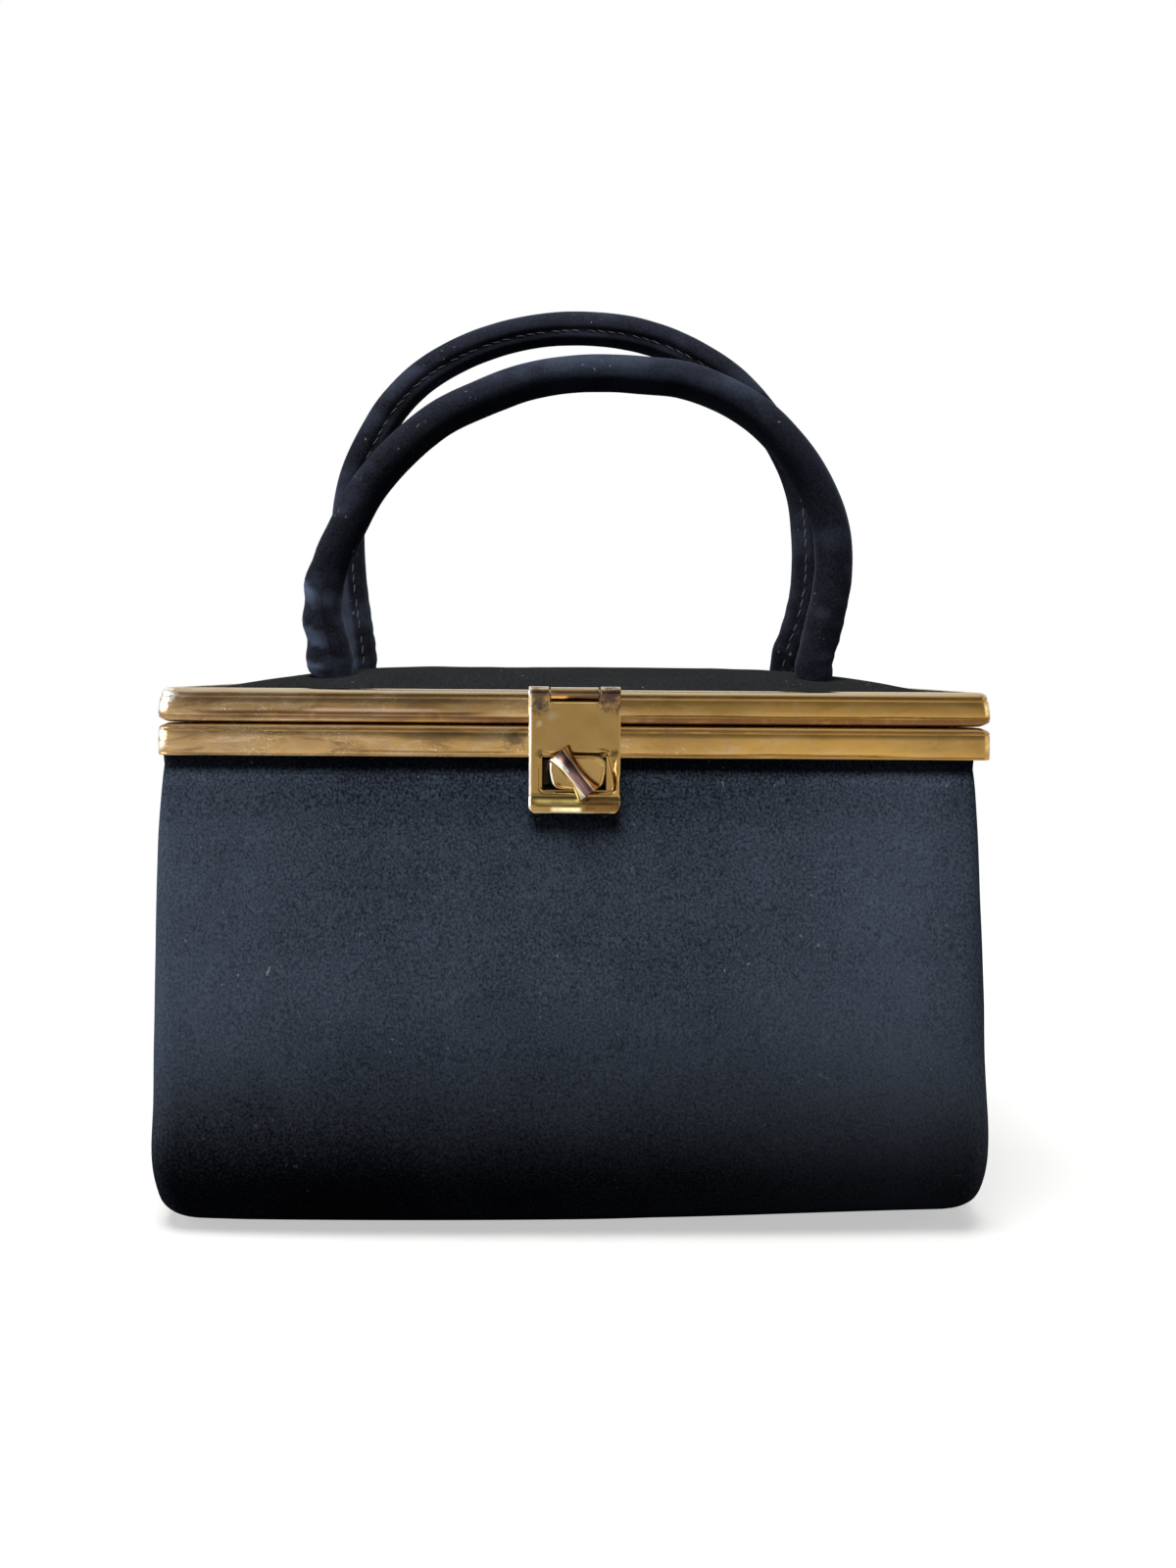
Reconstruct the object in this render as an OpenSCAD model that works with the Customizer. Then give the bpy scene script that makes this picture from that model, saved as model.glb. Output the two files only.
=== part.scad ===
// Hard box purse covered in dark satin, with a plated two-bar frame, a turn-lock hasp
// and two padded handles. Width runs along X, the front faces -Y, up is +Z, and the
// origin is the middle of the flat base, on the surface that the purse stands on.

/* [Frame] */
// Width of the frame, end to end
frame_w = 220; // [200:1:240]
// Depth of the frame, front to back
frame_d = 90; // [84:1:96]
// Height of the bar round the lid
upper_bar_h = 9; // [8.8:0.1:11]
// Height of the bar round the mouth of the case
lower_bar_h = 8.5; // [8:0.1:10]
// Outer corner radius of both bars, seen from above
frame_corner = 7; // [6.8:0.1:9]
// Thickness of the plated sheet
sheet_t = 0.9; // [0.8:0.05:1]
// Radius of the two rolled edges that face each other
bead_r = 1.45; // [1.2:0.05:1.8]
// Radius of the top edge of the lid bar
top_edge_r = 1.2; // [1:0.05:1.6]
// Width of the lip that holds the edge of the lid
lip_w = 3.2; // [2.6:0.1:4]
// Depth of the crease pressed above the rolled edge of the lid bar
crease = 0.15; // [0.1:0.01:0.25]
// Gap between the two bars when the purse is shut
bar_gap = 0.3; // [0.2:0.05:0.5]

/* [Case] */
// Height of the case, from its standing surface to the top of its bar
case_h = 138.7; // [120:0.5:150]
// Width at the widest place
belly_w = 224; // [222:0.5:232]
// Depth at the deepest place
belly_d = 100; // [94:0.5:106]
// Height at which the front and back reach their full depth
belly_z = 45; // [34:1:60]
// Radius of the roll along the bottom of the front and back
front_roll = 28; // [20:0.5:32]
// Radius of the roll along the bottom of the two sides
side_roll = 10; // [8:0.5:14]
// Radius of the upright edges at the belly
belly_corner = 9; // [7:0.5:12]
// How far the front and back bow out between their edges
front_crown = 3; // [1:0.5:5]
// How far the sides bow out between their edges
side_crown = 1.5; // [0.5:0.5:3]
// Thickness of the covered panel that the purse stands on
base_t = 1.5; // [1:0.1:2.5]
// Margin between the base panel and the start of the rolls
base_margin = 1; // [0.5:0.5:4]
// Thickness of the board walls
board_t = 3; // [2.4:0.1:3.2]
// Thickness of the satin with its thin wadding
cover_t = 0.6; // [0.4:0.05:0.8]
// Thickness of the lining
lining_t = 0.6; // [0.4:0.05:0.8]
// Glue line between two layers
glue_gap = 0.1; // [0.08:0.01:0.15]
// Width of the slip pocket on the back wall
pocket_w = 130; // [90:1:160]
// Height of the slip pocket
pocket_h = 70; // [50:1:78]
// Height of the bottom of the slip pocket
pocket_z = 38; // [36:1:42]

/* [Lid] */
// Rise of the padded top above the rim of the lid
lid_crown = 6; // [3:0.1:8]

/* [Handles] */
// Diameter of the padded tubes
handle_d = 10.4; // [9:0.1:12]
// Diameter of the cord inside them
handle_core_d = 8.4; // [7:0.1:8.6]
// Distance between the feet of the front handle
front_span = 135.4; // [120:0.1:150]
// Rise of the front handle above the place where it flexes
front_rise = 80.4; // [60:0.1:100]
// Distance between the feet of the rear handle
rear_span = 133.8; // [120:0.1:150]
// Rise of the rear handle above the place where it flexes
rear_rise = 103.5; // [70:0.5:120]
// Distance of each handle from the middle of the lid
handle_offset = 20; // [17:0.5:26]
// Diameter of the rivets that hold the ends of the handles
anchor_rivet_d = 2.4; // [2:0.1:3]
// Diameter of the plates under the lid board that the rivets draw up
anchor_d = 14; // [12:0.5:18]
// Thickness of those plates
anchor_t = 0.6; // [0.5:0.05:0.8]

/* [Rear hinge] */
// Length of the hinge
hinge_l = 176; // [120:1:196]
// Number of knuckles
hinge_knuckles = 9; // [5:2:13]
// Outer diameter of the barrel
hinge_barrel_d = 3.5; // [3:0.1:4]
// Diameter of the pin
hinge_pin_d = 1.6; // [1.2:0.1:1.8]
// Height of each leaf, from the pin
hinge_leaf_h = 7.4; // [5:0.1:8]

/* [Clasp] */
// Width of the hasp
hasp_w = 24; // [22:0.5:28]
// Length of the hasp, from its pin to its lower edge
hasp_l = 31.6; // [31:0.1:34]
// Thickness of the hasp
hasp_t = 1; // [0.8:0.05:1.1]
// Outer diameter of the hasp's barrel
hasp_barrel_d = 3.3; // [3:0.1:3.6]
// Diameter of the hasp's pin
hasp_pin_d = 1.5; // [1.2:0.1:1.7]
// Width of the middle knuckle
hasp_knuckle_w = 12.6; // [8:0.1:14]
// Height of the leaf behind the hasp, from the pin
hasp_leaf_h = 6.4; // [4:0.1:7]
// Width of the slot
slot_w = 17; // [16.5:0.1:18]
// Height of the slot
slot_h = 9.1; // [8.6:0.1:9.6]
// Distance from the pin down to the middle of the slot
lock_drop = 20.6; // [20.4:0.1:22]
// Width of the sunk border round the slot
slot_border = 1.9; // [1.2:0.1:2.2]
// Depth of the sunk border
slot_sink = 0.4; // [0.2:0.05:0.6]
// Radius of the lower corners of the hasp
hasp_corner = 3; // [1:0.1:4]
// Radius of the lower edge, which rolls back towards the case
tail_roll = 2.4; // [1.8:0.1:2.6]
// Width of the boss that stands in the slot
boss_w = 14.7; // [13:0.1:15.5]
// Height of the boss
boss_h = 6.6; // [6:0.1:6.8]
// Width of the plate under the boss
lock_plate_w = 19; // [18:0.1:20]
// Length of the turn knob
knob_l = 13.4; // [11:0.1:13.6]
// Width of the ends of the knob
knob_w = 6.8; // [6:0.1:7.4]
// Width of the waist of the knob
knob_waist = 4.7; // [4.2:0.1:5.4]
// Height of the middle of the knob
knob_h = 4.2; // [3.6:0.1:4.6]
// Height of the tips of the knob
knob_tip_h = 2.2; // [1.8:0.05:2.3]
// Width of the ridge along the front of the knob
knob_ridge = 3.3; // [2.4:0.1:3.8]
// Turn of the knob up from level
knob_turn = 52.5; // [0:0.5:90]
// Diameter of the knob's shaft
knob_shaft_d = 3.2; // [2.6:0.1:3.6]

/* [Hidden] */
$fn = 48;

// Overrun of every cut past the face it leaves
cut = 1;
// Radial clearance of a part that turns on a pin or shaft
turn_clear = 0.05;
// Radial clearance of a part that is fixed on a pin or shaft
seat_clear = 0.02;
// Clearance between a moving part and the part beside it
run_clear = 0.3;
// Half circles, quarter circles and cross-sections are drawn with these counts
arc_steps = 5;
corner_steps = 4;
long_side_steps = 6;
short_side_steps = 4;
handle_sides = 10;

// Layers of the case, as depths below the outside of the satin
board_out = cover_t + glue_gap;
board_in = board_out + board_t;
lining_out = board_in + glue_gap;
lining_in = lining_out + lining_t;
pocket_out = lining_in + glue_gap;
pocket_in = pocket_out + lining_t;
// Depth of the channel that clamps all the layers
channel_d = sheet_t + glue_gap + lining_in + glue_gap + sheet_t;

// Heights of the bars
lower_bar_z = case_h - lower_bar_h;
upper_bar_z = case_h + bar_gap;
lid_top = upper_bar_z + upper_bar_h;
// Rise of the inner wall of the lower channel above the lower edge of its outer wall
inner_wall_rise = 1.2;
// Top of the layers of the case, below the rounding inside the rolled edge
layer_top = case_h - bead_r;

// Outside of the satin where the lower bar holds it, and where the case is widest
neck_hw = frame_w / 2 - sheet_t - glue_gap;
neck_hd = frame_d / 2 - sheet_t - glue_gap;
neck_corner = frame_corner - sheet_t - glue_gap;
cover_z = base_t + glue_gap;
// Shares of the height between the belly and the neck at which the case is drawn
wall_shares = [0.19, 0.38, 0.56, 0.72, 0.86, 0.95];
// Angles up the rolled bottom, from its flat underside
roll_angles = [0, 15, 30, 45, 60, 75];
// How slowly the walls start to flare below the neck
flare_share = 1.5;

// Heights of the layers of the lid
lid_lining_z = upper_bar_z + sheet_t + glue_gap;
lid_board_z = lid_lining_z + lining_t + glue_gap;
lid_padding_z = lid_board_z + board_t + glue_gap;
lid_rim_z = lid_top - sheet_t - glue_gap;
lid_hw = neck_hw;
lid_hd = neck_hd;
// Gap that the wadding leaves under the satin of the lid
pad_gap = 0.3;
// The dome starts this far inside the edge of the lid, clear of the lip
dome_hw = lid_hw - lip_w + sheet_t;
dome_hd = lid_hd - lip_w + sheet_t;
// How square the dome is along its width and along its depth
dome_w_share = 3.2;
dome_d_share = 2.6;
// Sizes of the rings that the dome is drawn with, as shares of the lid
dome_shares = [0.3, 0.55, 0.76, 0.9, 0.95, 0.98, 1];

// Height of the axis that each handle flexes about, above the lid bar
flex_rise = 8.5;
flex_z = lid_top + flex_rise;
foot_gap = 0.25;
// The handles' centre lines, from the left foot over the top to the right foot, as
// shares of half the span and of the rise
front_route_shares = [
    [-1, 0], [-1.05, 0.12], [-1.05, 0.225], [-1.015, 0.33], [-0.945, 0.46], [-0.865, 0.59],
    [-0.74, 0.715], [-0.57, 0.835], [-0.4, 0.907], [-0.225, 0.964], [-0.04, 0.995], [0.143, 1],
    [0.306, 0.992], [0.447, 0.98], [0.608, 0.932], [0.756, 0.858], [0.876, 0.76], [0.99, 0.626],
    [1.062, 0.475], [1.078, 0.322], [1.058, 0.2], [1.03, 0.09], [1, 0]];
rear_route_shares = [
    [-1, 0], [-1.022, 0.104], [-1.044, 0.208], [-1.057, 0.32], [-1.056, 0.432], [-1.022, 0.546],
    [-0.945, 0.659], [-0.85, 0.76], [-0.715, 0.85], [-0.53, 0.923], [-0.345, 0.968], [-0.16, 0.993],
    [0.023, 1], [0.206, 0.992], [0.386, 0.964], [0.563, 0.913], [0.739, 0.837], [0.882, 0.737],
    [0.996, 0.626], [1.07, 0.497], [1.096, 0.357], [1.092, 0.218], [1.053, 0.1], [1, 0]];
// Angles up the ball at each end of a handle, from its pole
ball_angles = [20, 45, 70];

// Rear hinge
hinge_y = frame_d / 2 + hinge_barrel_d / 2 + glue_gap;
hinge_z = case_h + bar_gap / 2;
hinge_leaf_t = 0.8;
knuckle_gap = 0.2;

// Hasp and turn-lock
hasp_y = -(frame_d / 2 + hasp_barrel_d / 2 + run_clear);
hasp_z = lid_top - 0.27 * hasp_barrel_d;
hasp_leaf_t = 0.8;
// The back of the hasp lies this far behind the middle of its pin
hasp_set = 0.15;
hasp_front = hasp_t - hasp_set;
lock_z = hasp_z - lock_drop;
lock_face_y = -(case_hd(lock_z - boss_h / 2, 0) + glue_gap);
lock_plate_t = 0.8;
// The boss stands this far out of the slot, and the knob this far off the boss
boss_proud = 0.2;
knob_clear = 0.15;
boss_y = hasp_y - hasp_front - boss_proud;
knob_y = boss_y - knob_clear;
prong_t = 0.8;
prong_w = 2;
prong_x = lock_plate_w / 2 - 1.4 * prong_t;
prong_clear = 0.1;
// Pocket in the inside of the board for the plate and washer that hold the lock
lock_wall_y = -case_hd(lock_z, board_in);
lock_pocket_deep = 1.8;
lock_pocket_y = lock_wall_y - lock_pocket_deep;
backplate_t = 0.7;
backplate_w = lock_plate_w + 1.5 * prong_t;
washer_t = 0.5;
washer_d = 1.9 * knob_shaft_d;

// Points round an arc, from angle a0 to angle a1
function arc(x, y, r, a0, a1, steps = arc_steps) =
    [for (i = [0:steps]) let (a = a0 + (a1 - a0) * i / steps) [x + r * cos(a), y + r * sin(a)]];

// One rounded rectangle with bowed sides, anticlockwise from the right side
function ring(hw, hd, r, bow_w, bow_d) = let (
        cx = hw - bow_w - r,
        cy = hd - bow_d - r)
    [for (q = [0:3]) let (
            sx = q == 0 || q == 3 ? 1 : -1,
            sy = q < 2 ? 1 : -1,
            long = q == 0 || q == 2,
            steps = long ? long_side_steps : short_side_steps)
        each concat(
            [for (p = arc(sx * cx, sy * cy, r, 90 * q, 90 * q + 90, corner_steps)) p],
            [for (i = [1:steps - 1]) let (t = 1 - 2 * i / steps)
                long ? [sx * cx * t, sy * (hd - bow_d * t * t)]
                     : [sx * (hw - bow_w * t * t), sy * cy * t]])];

// How far the roll of the bottom takes the wall in at height z, below the satin by off
function roll_in(z, off, roll) = z >= cover_z + roll ? 0
    : (roll - off) * (1 - sqrt(max(0, 1 - pow((cover_z + roll - z) / (roll - off), 2))));
// Flare of the walls, from nothing at the neck to one at the belly
function flare(z) = pow(sin(90 * min(1, max(0, (lower_bar_z - z) / (lower_bar_z - belly_z)))), flare_share);
function case_hw(z, off) =
    neck_hw + (belly_w / 2 - neck_hw) * flare(z) - off - roll_in(z, off, side_roll);
function case_hd(z, off) =
    neck_hd + (belly_d / 2 - neck_hd) * flare(z) - off - roll_in(z, off, front_roll);
function case_ring(z, off) = let (f = flare(z))
    [for (p = ring(case_hw(z, off), case_hd(z, off),
            neck_corner + (belly_corner - neck_corner) * f - off, side_crown * f, front_crown * f))
        [p[0], p[1], z]];
// Heights at which the case is drawn, for a surface that lies below the satin by off
function case_levels(off, top) = concat(
    [for (a = roll_angles) cover_z + front_roll - (front_roll - off) * cos(a)],
    [cover_z + front_roll, belly_z],
    [for (s = wall_shares) belly_z + s * (lower_bar_z - belly_z)],
    [lower_bar_z, top]);

// A solid through rings of equal count, with each end closed by a fan round its middle
module loft(rings) {
    n = len(rings[0]);
    last = len(rings) - 1;
    middle = (last + 1) * n;
    mean = [for (i = [0:n - 1]) 1 / n];
    polyhedron(
        points = concat([for (r = rings) each r], [mean * rings[0], mean * rings[last]]),
        faces = concat(
            [for (i = [0:n - 1]) [middle, i, (i + 1) % n]],
            [for (k = [0:last - 1], i = [0:n - 1]) let (j = (i + 1) % n)
                each [[k * n + i, k * n + n + i, k * n + n + j], [k * n + i, k * n + n + j, k * n + j]]],
            [for (i = [0:n - 1]) [middle + 1, last * n + (i + 1) % n, last * n + i]]));
}

module case_solid(off, top) {
    loft([for (z = case_levels(off, top)) case_ring(z, off)]);
}

// One layer of the case, closed at the bottom and open at the top
module case_layer(out, in, top) {
    difference() {
        case_solid(out, top);
        case_solid(in, top + cut);
    }
}

module rounded_rect(w, d, r) {
    square([w - 2 * r, d], center = true);
    square([w, d - 2 * r], center = true);
    for (x = [-1, 1], y = [-1, 1]) translate([x * (w / 2 - r), y * (d / 2 - r)]) circle(r);
}

// Runs the section that follows round the frame, with the outer face at frame_corner
module round_frame() {
    cx = frame_w / 2 - frame_corner;
    cy = frame_d / 2 - frame_corner;
    for (q = [0:3]) {
        sx = q == 0 || q == 3 ? 1 : -1;
        sy = q < 2 ? 1 : -1;
        run = q == 0 || q == 2 ? 2 * cx : 2 * cy;
        translate([sx * cx, sy * cy, 0]) rotate([0, 0, 90 * q]) {
            rotate_extrude(angle = 90) children();
            translate([-run, 0, 0]) rotate([90, 0, 90]) linear_extrude(run) children();
        }
    }
}

// Opening through the front of the case for the lock, along Y at the lock's height
module along_front(d, from, to) {
    translate([0, from, lock_z]) rotate([-90, 0, 0]) cylinder(d = d, h = to - from);
}

module prong_cuts(grow) {
    for (s = [-1, 1])
        translate([s * prong_x - prong_t / 2 - grow, lock_face_y - cut, lock_z - prong_w / 2 - grow])
            cube([prong_t + 2 * grow, lock_pocket_y - lock_face_y + 2 * cut, prong_w + 2 * grow]);
}

module body_board() {
    color("tan") difference() {
        case_layer(board_out, board_in, layer_top);
        along_front(knob_shaft_d + 4 * prong_clear, lock_face_y - cut, lock_wall_y + cut);
        prong_cuts(prong_clear);
        translate([-backplate_w / 2 - prong_clear, lock_pocket_y, lock_z - boss_h / 2 - prong_clear])
            cube([backplate_w + 2 * prong_clear, lock_pocket_deep + cut, boss_h + 2 * prong_clear]);
    }
}

module body_cover() {
    color([0.2, 0.23, 0.3]) difference() {
        case_layer(0, cover_t, layer_top);
        along_front(knob_shaft_d + 4 * prong_clear, lock_face_y - cut, lock_wall_y);
        prong_cuts(prong_clear);
    }
}

module base_panel() {
    color([0.1, 0.11, 0.14]) linear_extrude(base_t)
        rounded_rect(belly_w - 2 * side_roll - 2 * base_margin,
            belly_d - 2 * front_roll - 2 * base_margin, belly_corner);
}

module body_lining() {
    color([0.12, 0.12, 0.14]) case_layer(lining_out, lining_in, layer_top);
}

module lining_pocket() {
    color([0.14, 0.14, 0.17]) intersection() {
        case_layer(pocket_out, pocket_in, case_h);
        translate([-pocket_w / 2, 0, pocket_z]) cube([pocket_w, belly_d, pocket_h]);
    }
}

// Section of the bar round the case: a channel open downwards that clamps the layers
module lower_section() {
    top = case_h;
    low = lower_bar_z;
    c = frame_corner;
    polygon(concat(
        [[c, low]],
        arc(c - bead_r, top - bead_r, bead_r, 0, 90),
        [[c - channel_d, top],
         [c - channel_d, low + inner_wall_rise],
         [c - channel_d + sheet_t, low + inner_wall_rise],
         [c - channel_d + sheet_t, top - sheet_t]],
        arc(c - bead_r, top - bead_r, bead_r - sheet_t, 90, 0),
        [[c - sheet_t, low]]));
}

// Section of the bar round the lid: a channel open inwards, with a crease on its face
module upper_section() {
    top = lid_top;
    low = upper_bar_z;
    c = frame_corner;
    polygon(concat(
        [[c - lip_w, low]],
        arc(c - bead_r, low + bead_r, bead_r, -90, 0),
        [[c, low + bead_r + crease],
         [c - crease, low + bead_r + 2 * crease],
         [c, low + bead_r + 3 * crease]],
        arc(c - top_edge_r, top - top_edge_r, top_edge_r, 0, 90),
        [[c - lip_w, top],
         [c - lip_w, top - sheet_t]],
        arc(c - top_edge_r, top - top_edge_r, top_edge_r - sheet_t, 90, 0),
        arc(c - bead_r, low + bead_r, bead_r - sheet_t, 0, -90),
        [[c - lip_w, low + sheet_t]]));
}

module lower_frame() {
    color([0.72, 0.56, 0.3]) round_frame() lower_section();
}

module upper_frame() {
    color([0.72, 0.56, 0.3]) round_frame() upper_section();
}

// Every second knuckle of a barrel, and the leaf that carries them
module hinge_half(first, up) {
    pitch = hinge_l / hinge_knuckles;
    reach = hinge_barrel_d / 2 + run_clear;
    leaf_y = frame_d / 2 + glue_gap / 2;
    translate([0, 0, hinge_z]) difference() {
        union() {
            translate([-hinge_l / 2, leaf_y, up > 0 ? reach : -hinge_leaf_h])
                cube([hinge_l, hinge_leaf_t, hinge_leaf_h - reach]);
            for (i = [first:2:hinge_knuckles - 1]) {
                x = -hinge_l / 2 + i * pitch + knuckle_gap / 2;
                translate([x, hinge_y, 0]) rotate([0, 90, 0])
                    cylinder(d = hinge_barrel_d, h = pitch - knuckle_gap);
                translate([x, leaf_y, up > 0 ? 0 : -reach - seat_clear])
                    cube([pitch - knuckle_gap, hinge_leaf_t, reach + seat_clear]);
            }
        }
        translate([-hinge_l / 2 - cut, hinge_y, 0]) rotate([0, 90, 0])
            cylinder(d = hinge_pin_d + 2 * (up > 0 ? turn_clear : seat_clear), h = hinge_l + 2 * cut);
    }
}

module rear_hinge_lower() {
    color([0.66, 0.51, 0.28]) hinge_half(0, -1);
}

module rear_hinge_upper() {
    color([0.7, 0.55, 0.3]) hinge_half(1, 1);
}

module rear_hinge_pin() {
    color([0.6, 0.5, 0.34]) translate([-hinge_l / 2, hinge_y, hinge_z]) rotate([0, 90, 0])
        cylinder(d = hinge_pin_d, h = hinge_l);
}

// An oblong with its ends rounded by one circle, standing on the front of the case
module lock_oblong(w, from, to) {
    translate([0, to, lock_z]) rotate([90, 0, 0]) linear_extrude(to - from) intersection() {
        circle(d = w);
        square([w, boss_h], center = true);
    }
}

module turnlock_base() {
    color([0.62, 0.47, 0.24]) difference() {
        union() {
            lock_oblong(lock_plate_w, lock_face_y - lock_plate_t, lock_face_y);
            lock_oblong(boss_w, boss_y, lock_face_y - lock_plate_t / 2);
            for (s = [-1, 1])
                translate([s * prong_x - prong_t / 2, lock_face_y - lock_plate_t / 2, lock_z - prong_w / 2])
                    cube([prong_t, lock_pocket_y + backplate_t - lock_face_y + lock_plate_t / 2, prong_w]);
        }
        along_front(knob_shaft_d + 2 * turn_clear, boss_y - cut, lock_face_y + cut);
    }
}

module turnlock_backplate() {
    color([0.66, 0.6, 0.5]) difference() {
        translate([-backplate_w / 2, lock_pocket_y + seat_clear, lock_z - boss_h / 2])
            cube([backplate_w, backplate_t, boss_h]);
        along_front(knob_shaft_d + 4 * prong_clear, lock_pocket_y - cut, lock_wall_y + cut);
        prong_cuts(seat_clear);
    }
}

// The knob is drawn lying along X with its front at +Z, then turned to face the front
module knob_pose() {
    translate([0, knob_y, lock_z]) rotate([90, 0, 0]) rotate([0, 0, -knob_turn]) children();
}

module knob_head() {
    waist_cut = (knob_w - knob_waist) / 2;
    waist_r = (pow(0.46 * knob_l, 2) + pow(waist_cut, 2)) / (2 * waist_cut);
    top_cut = knob_h - knob_tip_h;
    top_r = (pow(knob_l / 2, 2) + pow(top_cut, 2)) / (2 * top_cut);
    edge_h = knob_tip_h / 2;
    color([0.68, 0.5, 0.24]) knob_pose() difference() {
        intersection() {
            linear_extrude(knob_h) difference() {
                square([knob_l, knob_w], center = true);
                for (s = [-1, 1]) translate([0, s * (knob_waist / 2 + waist_r)]) circle(waist_r, $fn = 96);
            }
            translate([0, knob_w / 2, knob_h - top_r]) rotate([90, 0, 0])
                cylinder(r = top_r, h = knob_w, $fn = 96);
            translate([-knob_l / 2, 0, 0]) rotate([90, 0, 90]) linear_extrude(knob_l)
                polygon([[-knob_w / 2, 0], [knob_w / 2, 0], [knob_w / 2, edge_h],
                    [knob_ridge / 2, knob_h], [-knob_ridge / 2, knob_h], [-knob_w / 2, edge_h]]);
        }
        translate([0, 0, -cut]) cylinder(d = knob_shaft_d + 2 * seat_clear, h = cut + knob_tip_h);
    }
}

module knob_shaft() {
    color([0.6, 0.5, 0.34])
        along_front(knob_shaft_d, knob_y - knob_tip_h + seat_clear,
            lock_pocket_y + backplate_t + washer_t + 3 * seat_clear);
}

module knob_washer() {
    back = lock_pocket_y + backplate_t + 2 * seat_clear;
    color([0.66, 0.6, 0.5]) difference() {
        along_front(washer_d, back, back + washer_t);
        along_front(knob_shaft_d + 2 * seat_clear, back - cut, back + washer_t + cut);
    }
}

// Height of the outside of the dome above the rim, at x and y
function dome(x, y) = lid_crown * (1 - pow(min(1, abs(x) / dome_hw), dome_w_share))
    * (1 - pow(min(1, abs(y) / dome_hd), dome_d_share));
function dome_ring(share, z, rise) =
    [for (p = ring(lid_hw * share, lid_hd * share, neck_corner * share, 0, 0))
        [p[0], p[1], z + rise * dome(p[0], p[1])]];

// A slab the size of the lid, from a lower to an upper face that each rise by the dome or lie flat
module lid_slab(low, low_rise, high, high_rise) {
    rings = concat(
        [for (s = dome_shares) dome_ring(s, low, low_rise)],
        [for (i = [len(dome_shares) - 1:-1:0]) dome_ring(dome_shares[i], high, high_rise)]);
    loft(rings);
}

module foot_places() {
    for (s = [-1, 1]) {
        translate([s * front_span / 2, -handle_offset, 0]) children();
        translate([s * rear_span / 2, handle_offset, 0]) children();
    }
}

module foot_holes() {
    foot_places() translate([0, 0, lid_board_z - cut])
        cylinder(d = handle_d + 2 * glue_gap, h = flex_z - lid_board_z);
}

module lid_board() {
    color("tan") difference() {
        translate([0, 0, lid_board_z]) linear_extrude(board_t) rounded_rect(2 * lid_hw, 2 * lid_hd, neck_corner);
        foot_holes();
        foot_places() translate([0, 0, lid_board_z - cut])
            cylinder(d = anchor_d + 2 * glue_gap, h = cut + anchor_t + glue_gap);
    }
}

module lid_padding() {
    color([0.85, 0.83, 0.78]) difference() {
        lid_slab(lid_padding_z, 0, lid_rim_z - cover_t - pad_gap, 1);
        foot_holes();
    }
}

module lid_cover() {
    color([0.2, 0.23, 0.3]) difference() {
        lid_slab(lid_rim_z - cover_t, 1, lid_rim_z, 1);
        foot_holes();
    }
}

module lid_lining() {
    // It ends clear of the rounding inside the rolled edge
    inset = bead_r - sheet_t;
    color([0.12, 0.12, 0.14]) translate([0, 0, lid_lining_z]) linear_extrude(lining_t)
        rounded_rect(2 * lid_hw - 2 * inset, 2 * lid_hd - 2 * inset, neck_corner - inset);
}

module hasp_barrel(x, w, d) {
    translate([x, hasp_y, hasp_z]) rotate([0, 90, 0]) cylinder(d = d, h = w);
}

module hasp_hinge_leaf() {
    leaf_y = -frame_d / 2 - glue_gap / 2 - hasp_leaf_t;
    w = hasp_knuckle_w;
    color([0.66, 0.51, 0.28]) difference() {
        union() {
            translate([-w / 2, leaf_y, hasp_z - hasp_leaf_h]) cube([w, hasp_leaf_t, hasp_leaf_h]);
            translate([-w / 2, hasp_y, hasp_z - hasp_barrel_d / 2])
                cube([w, leaf_y + hasp_leaf_t - hasp_y, hasp_leaf_t]);
            hasp_barrel(-w / 2, w, hasp_barrel_d);
        }
        hasp_barrel(-w / 2 - cut, w + 2 * cut, hasp_pin_d + 2 * seat_clear);
    }
}

module hasp_hinge_pin() {
    color([0.6, 0.5, 0.34]) hasp_barrel(-hasp_w / 2, hasp_w, hasp_pin_d);
}

// Side view of the hasp below its pin, with the lower edge rolled back
module hasp_section() {
    turn_in = 75;
    mid = hasp_l - tail_roll;
    polygon(concat(
        [[hasp_set, 0], [-hasp_front, 0]],
        arc(tail_roll - hasp_front, -mid, tail_roll, 180, 180 + turn_in),
        arc(tail_roll - hasp_front, -mid, tail_roll - hasp_t, 180 + turn_in, 180)));
}

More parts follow.
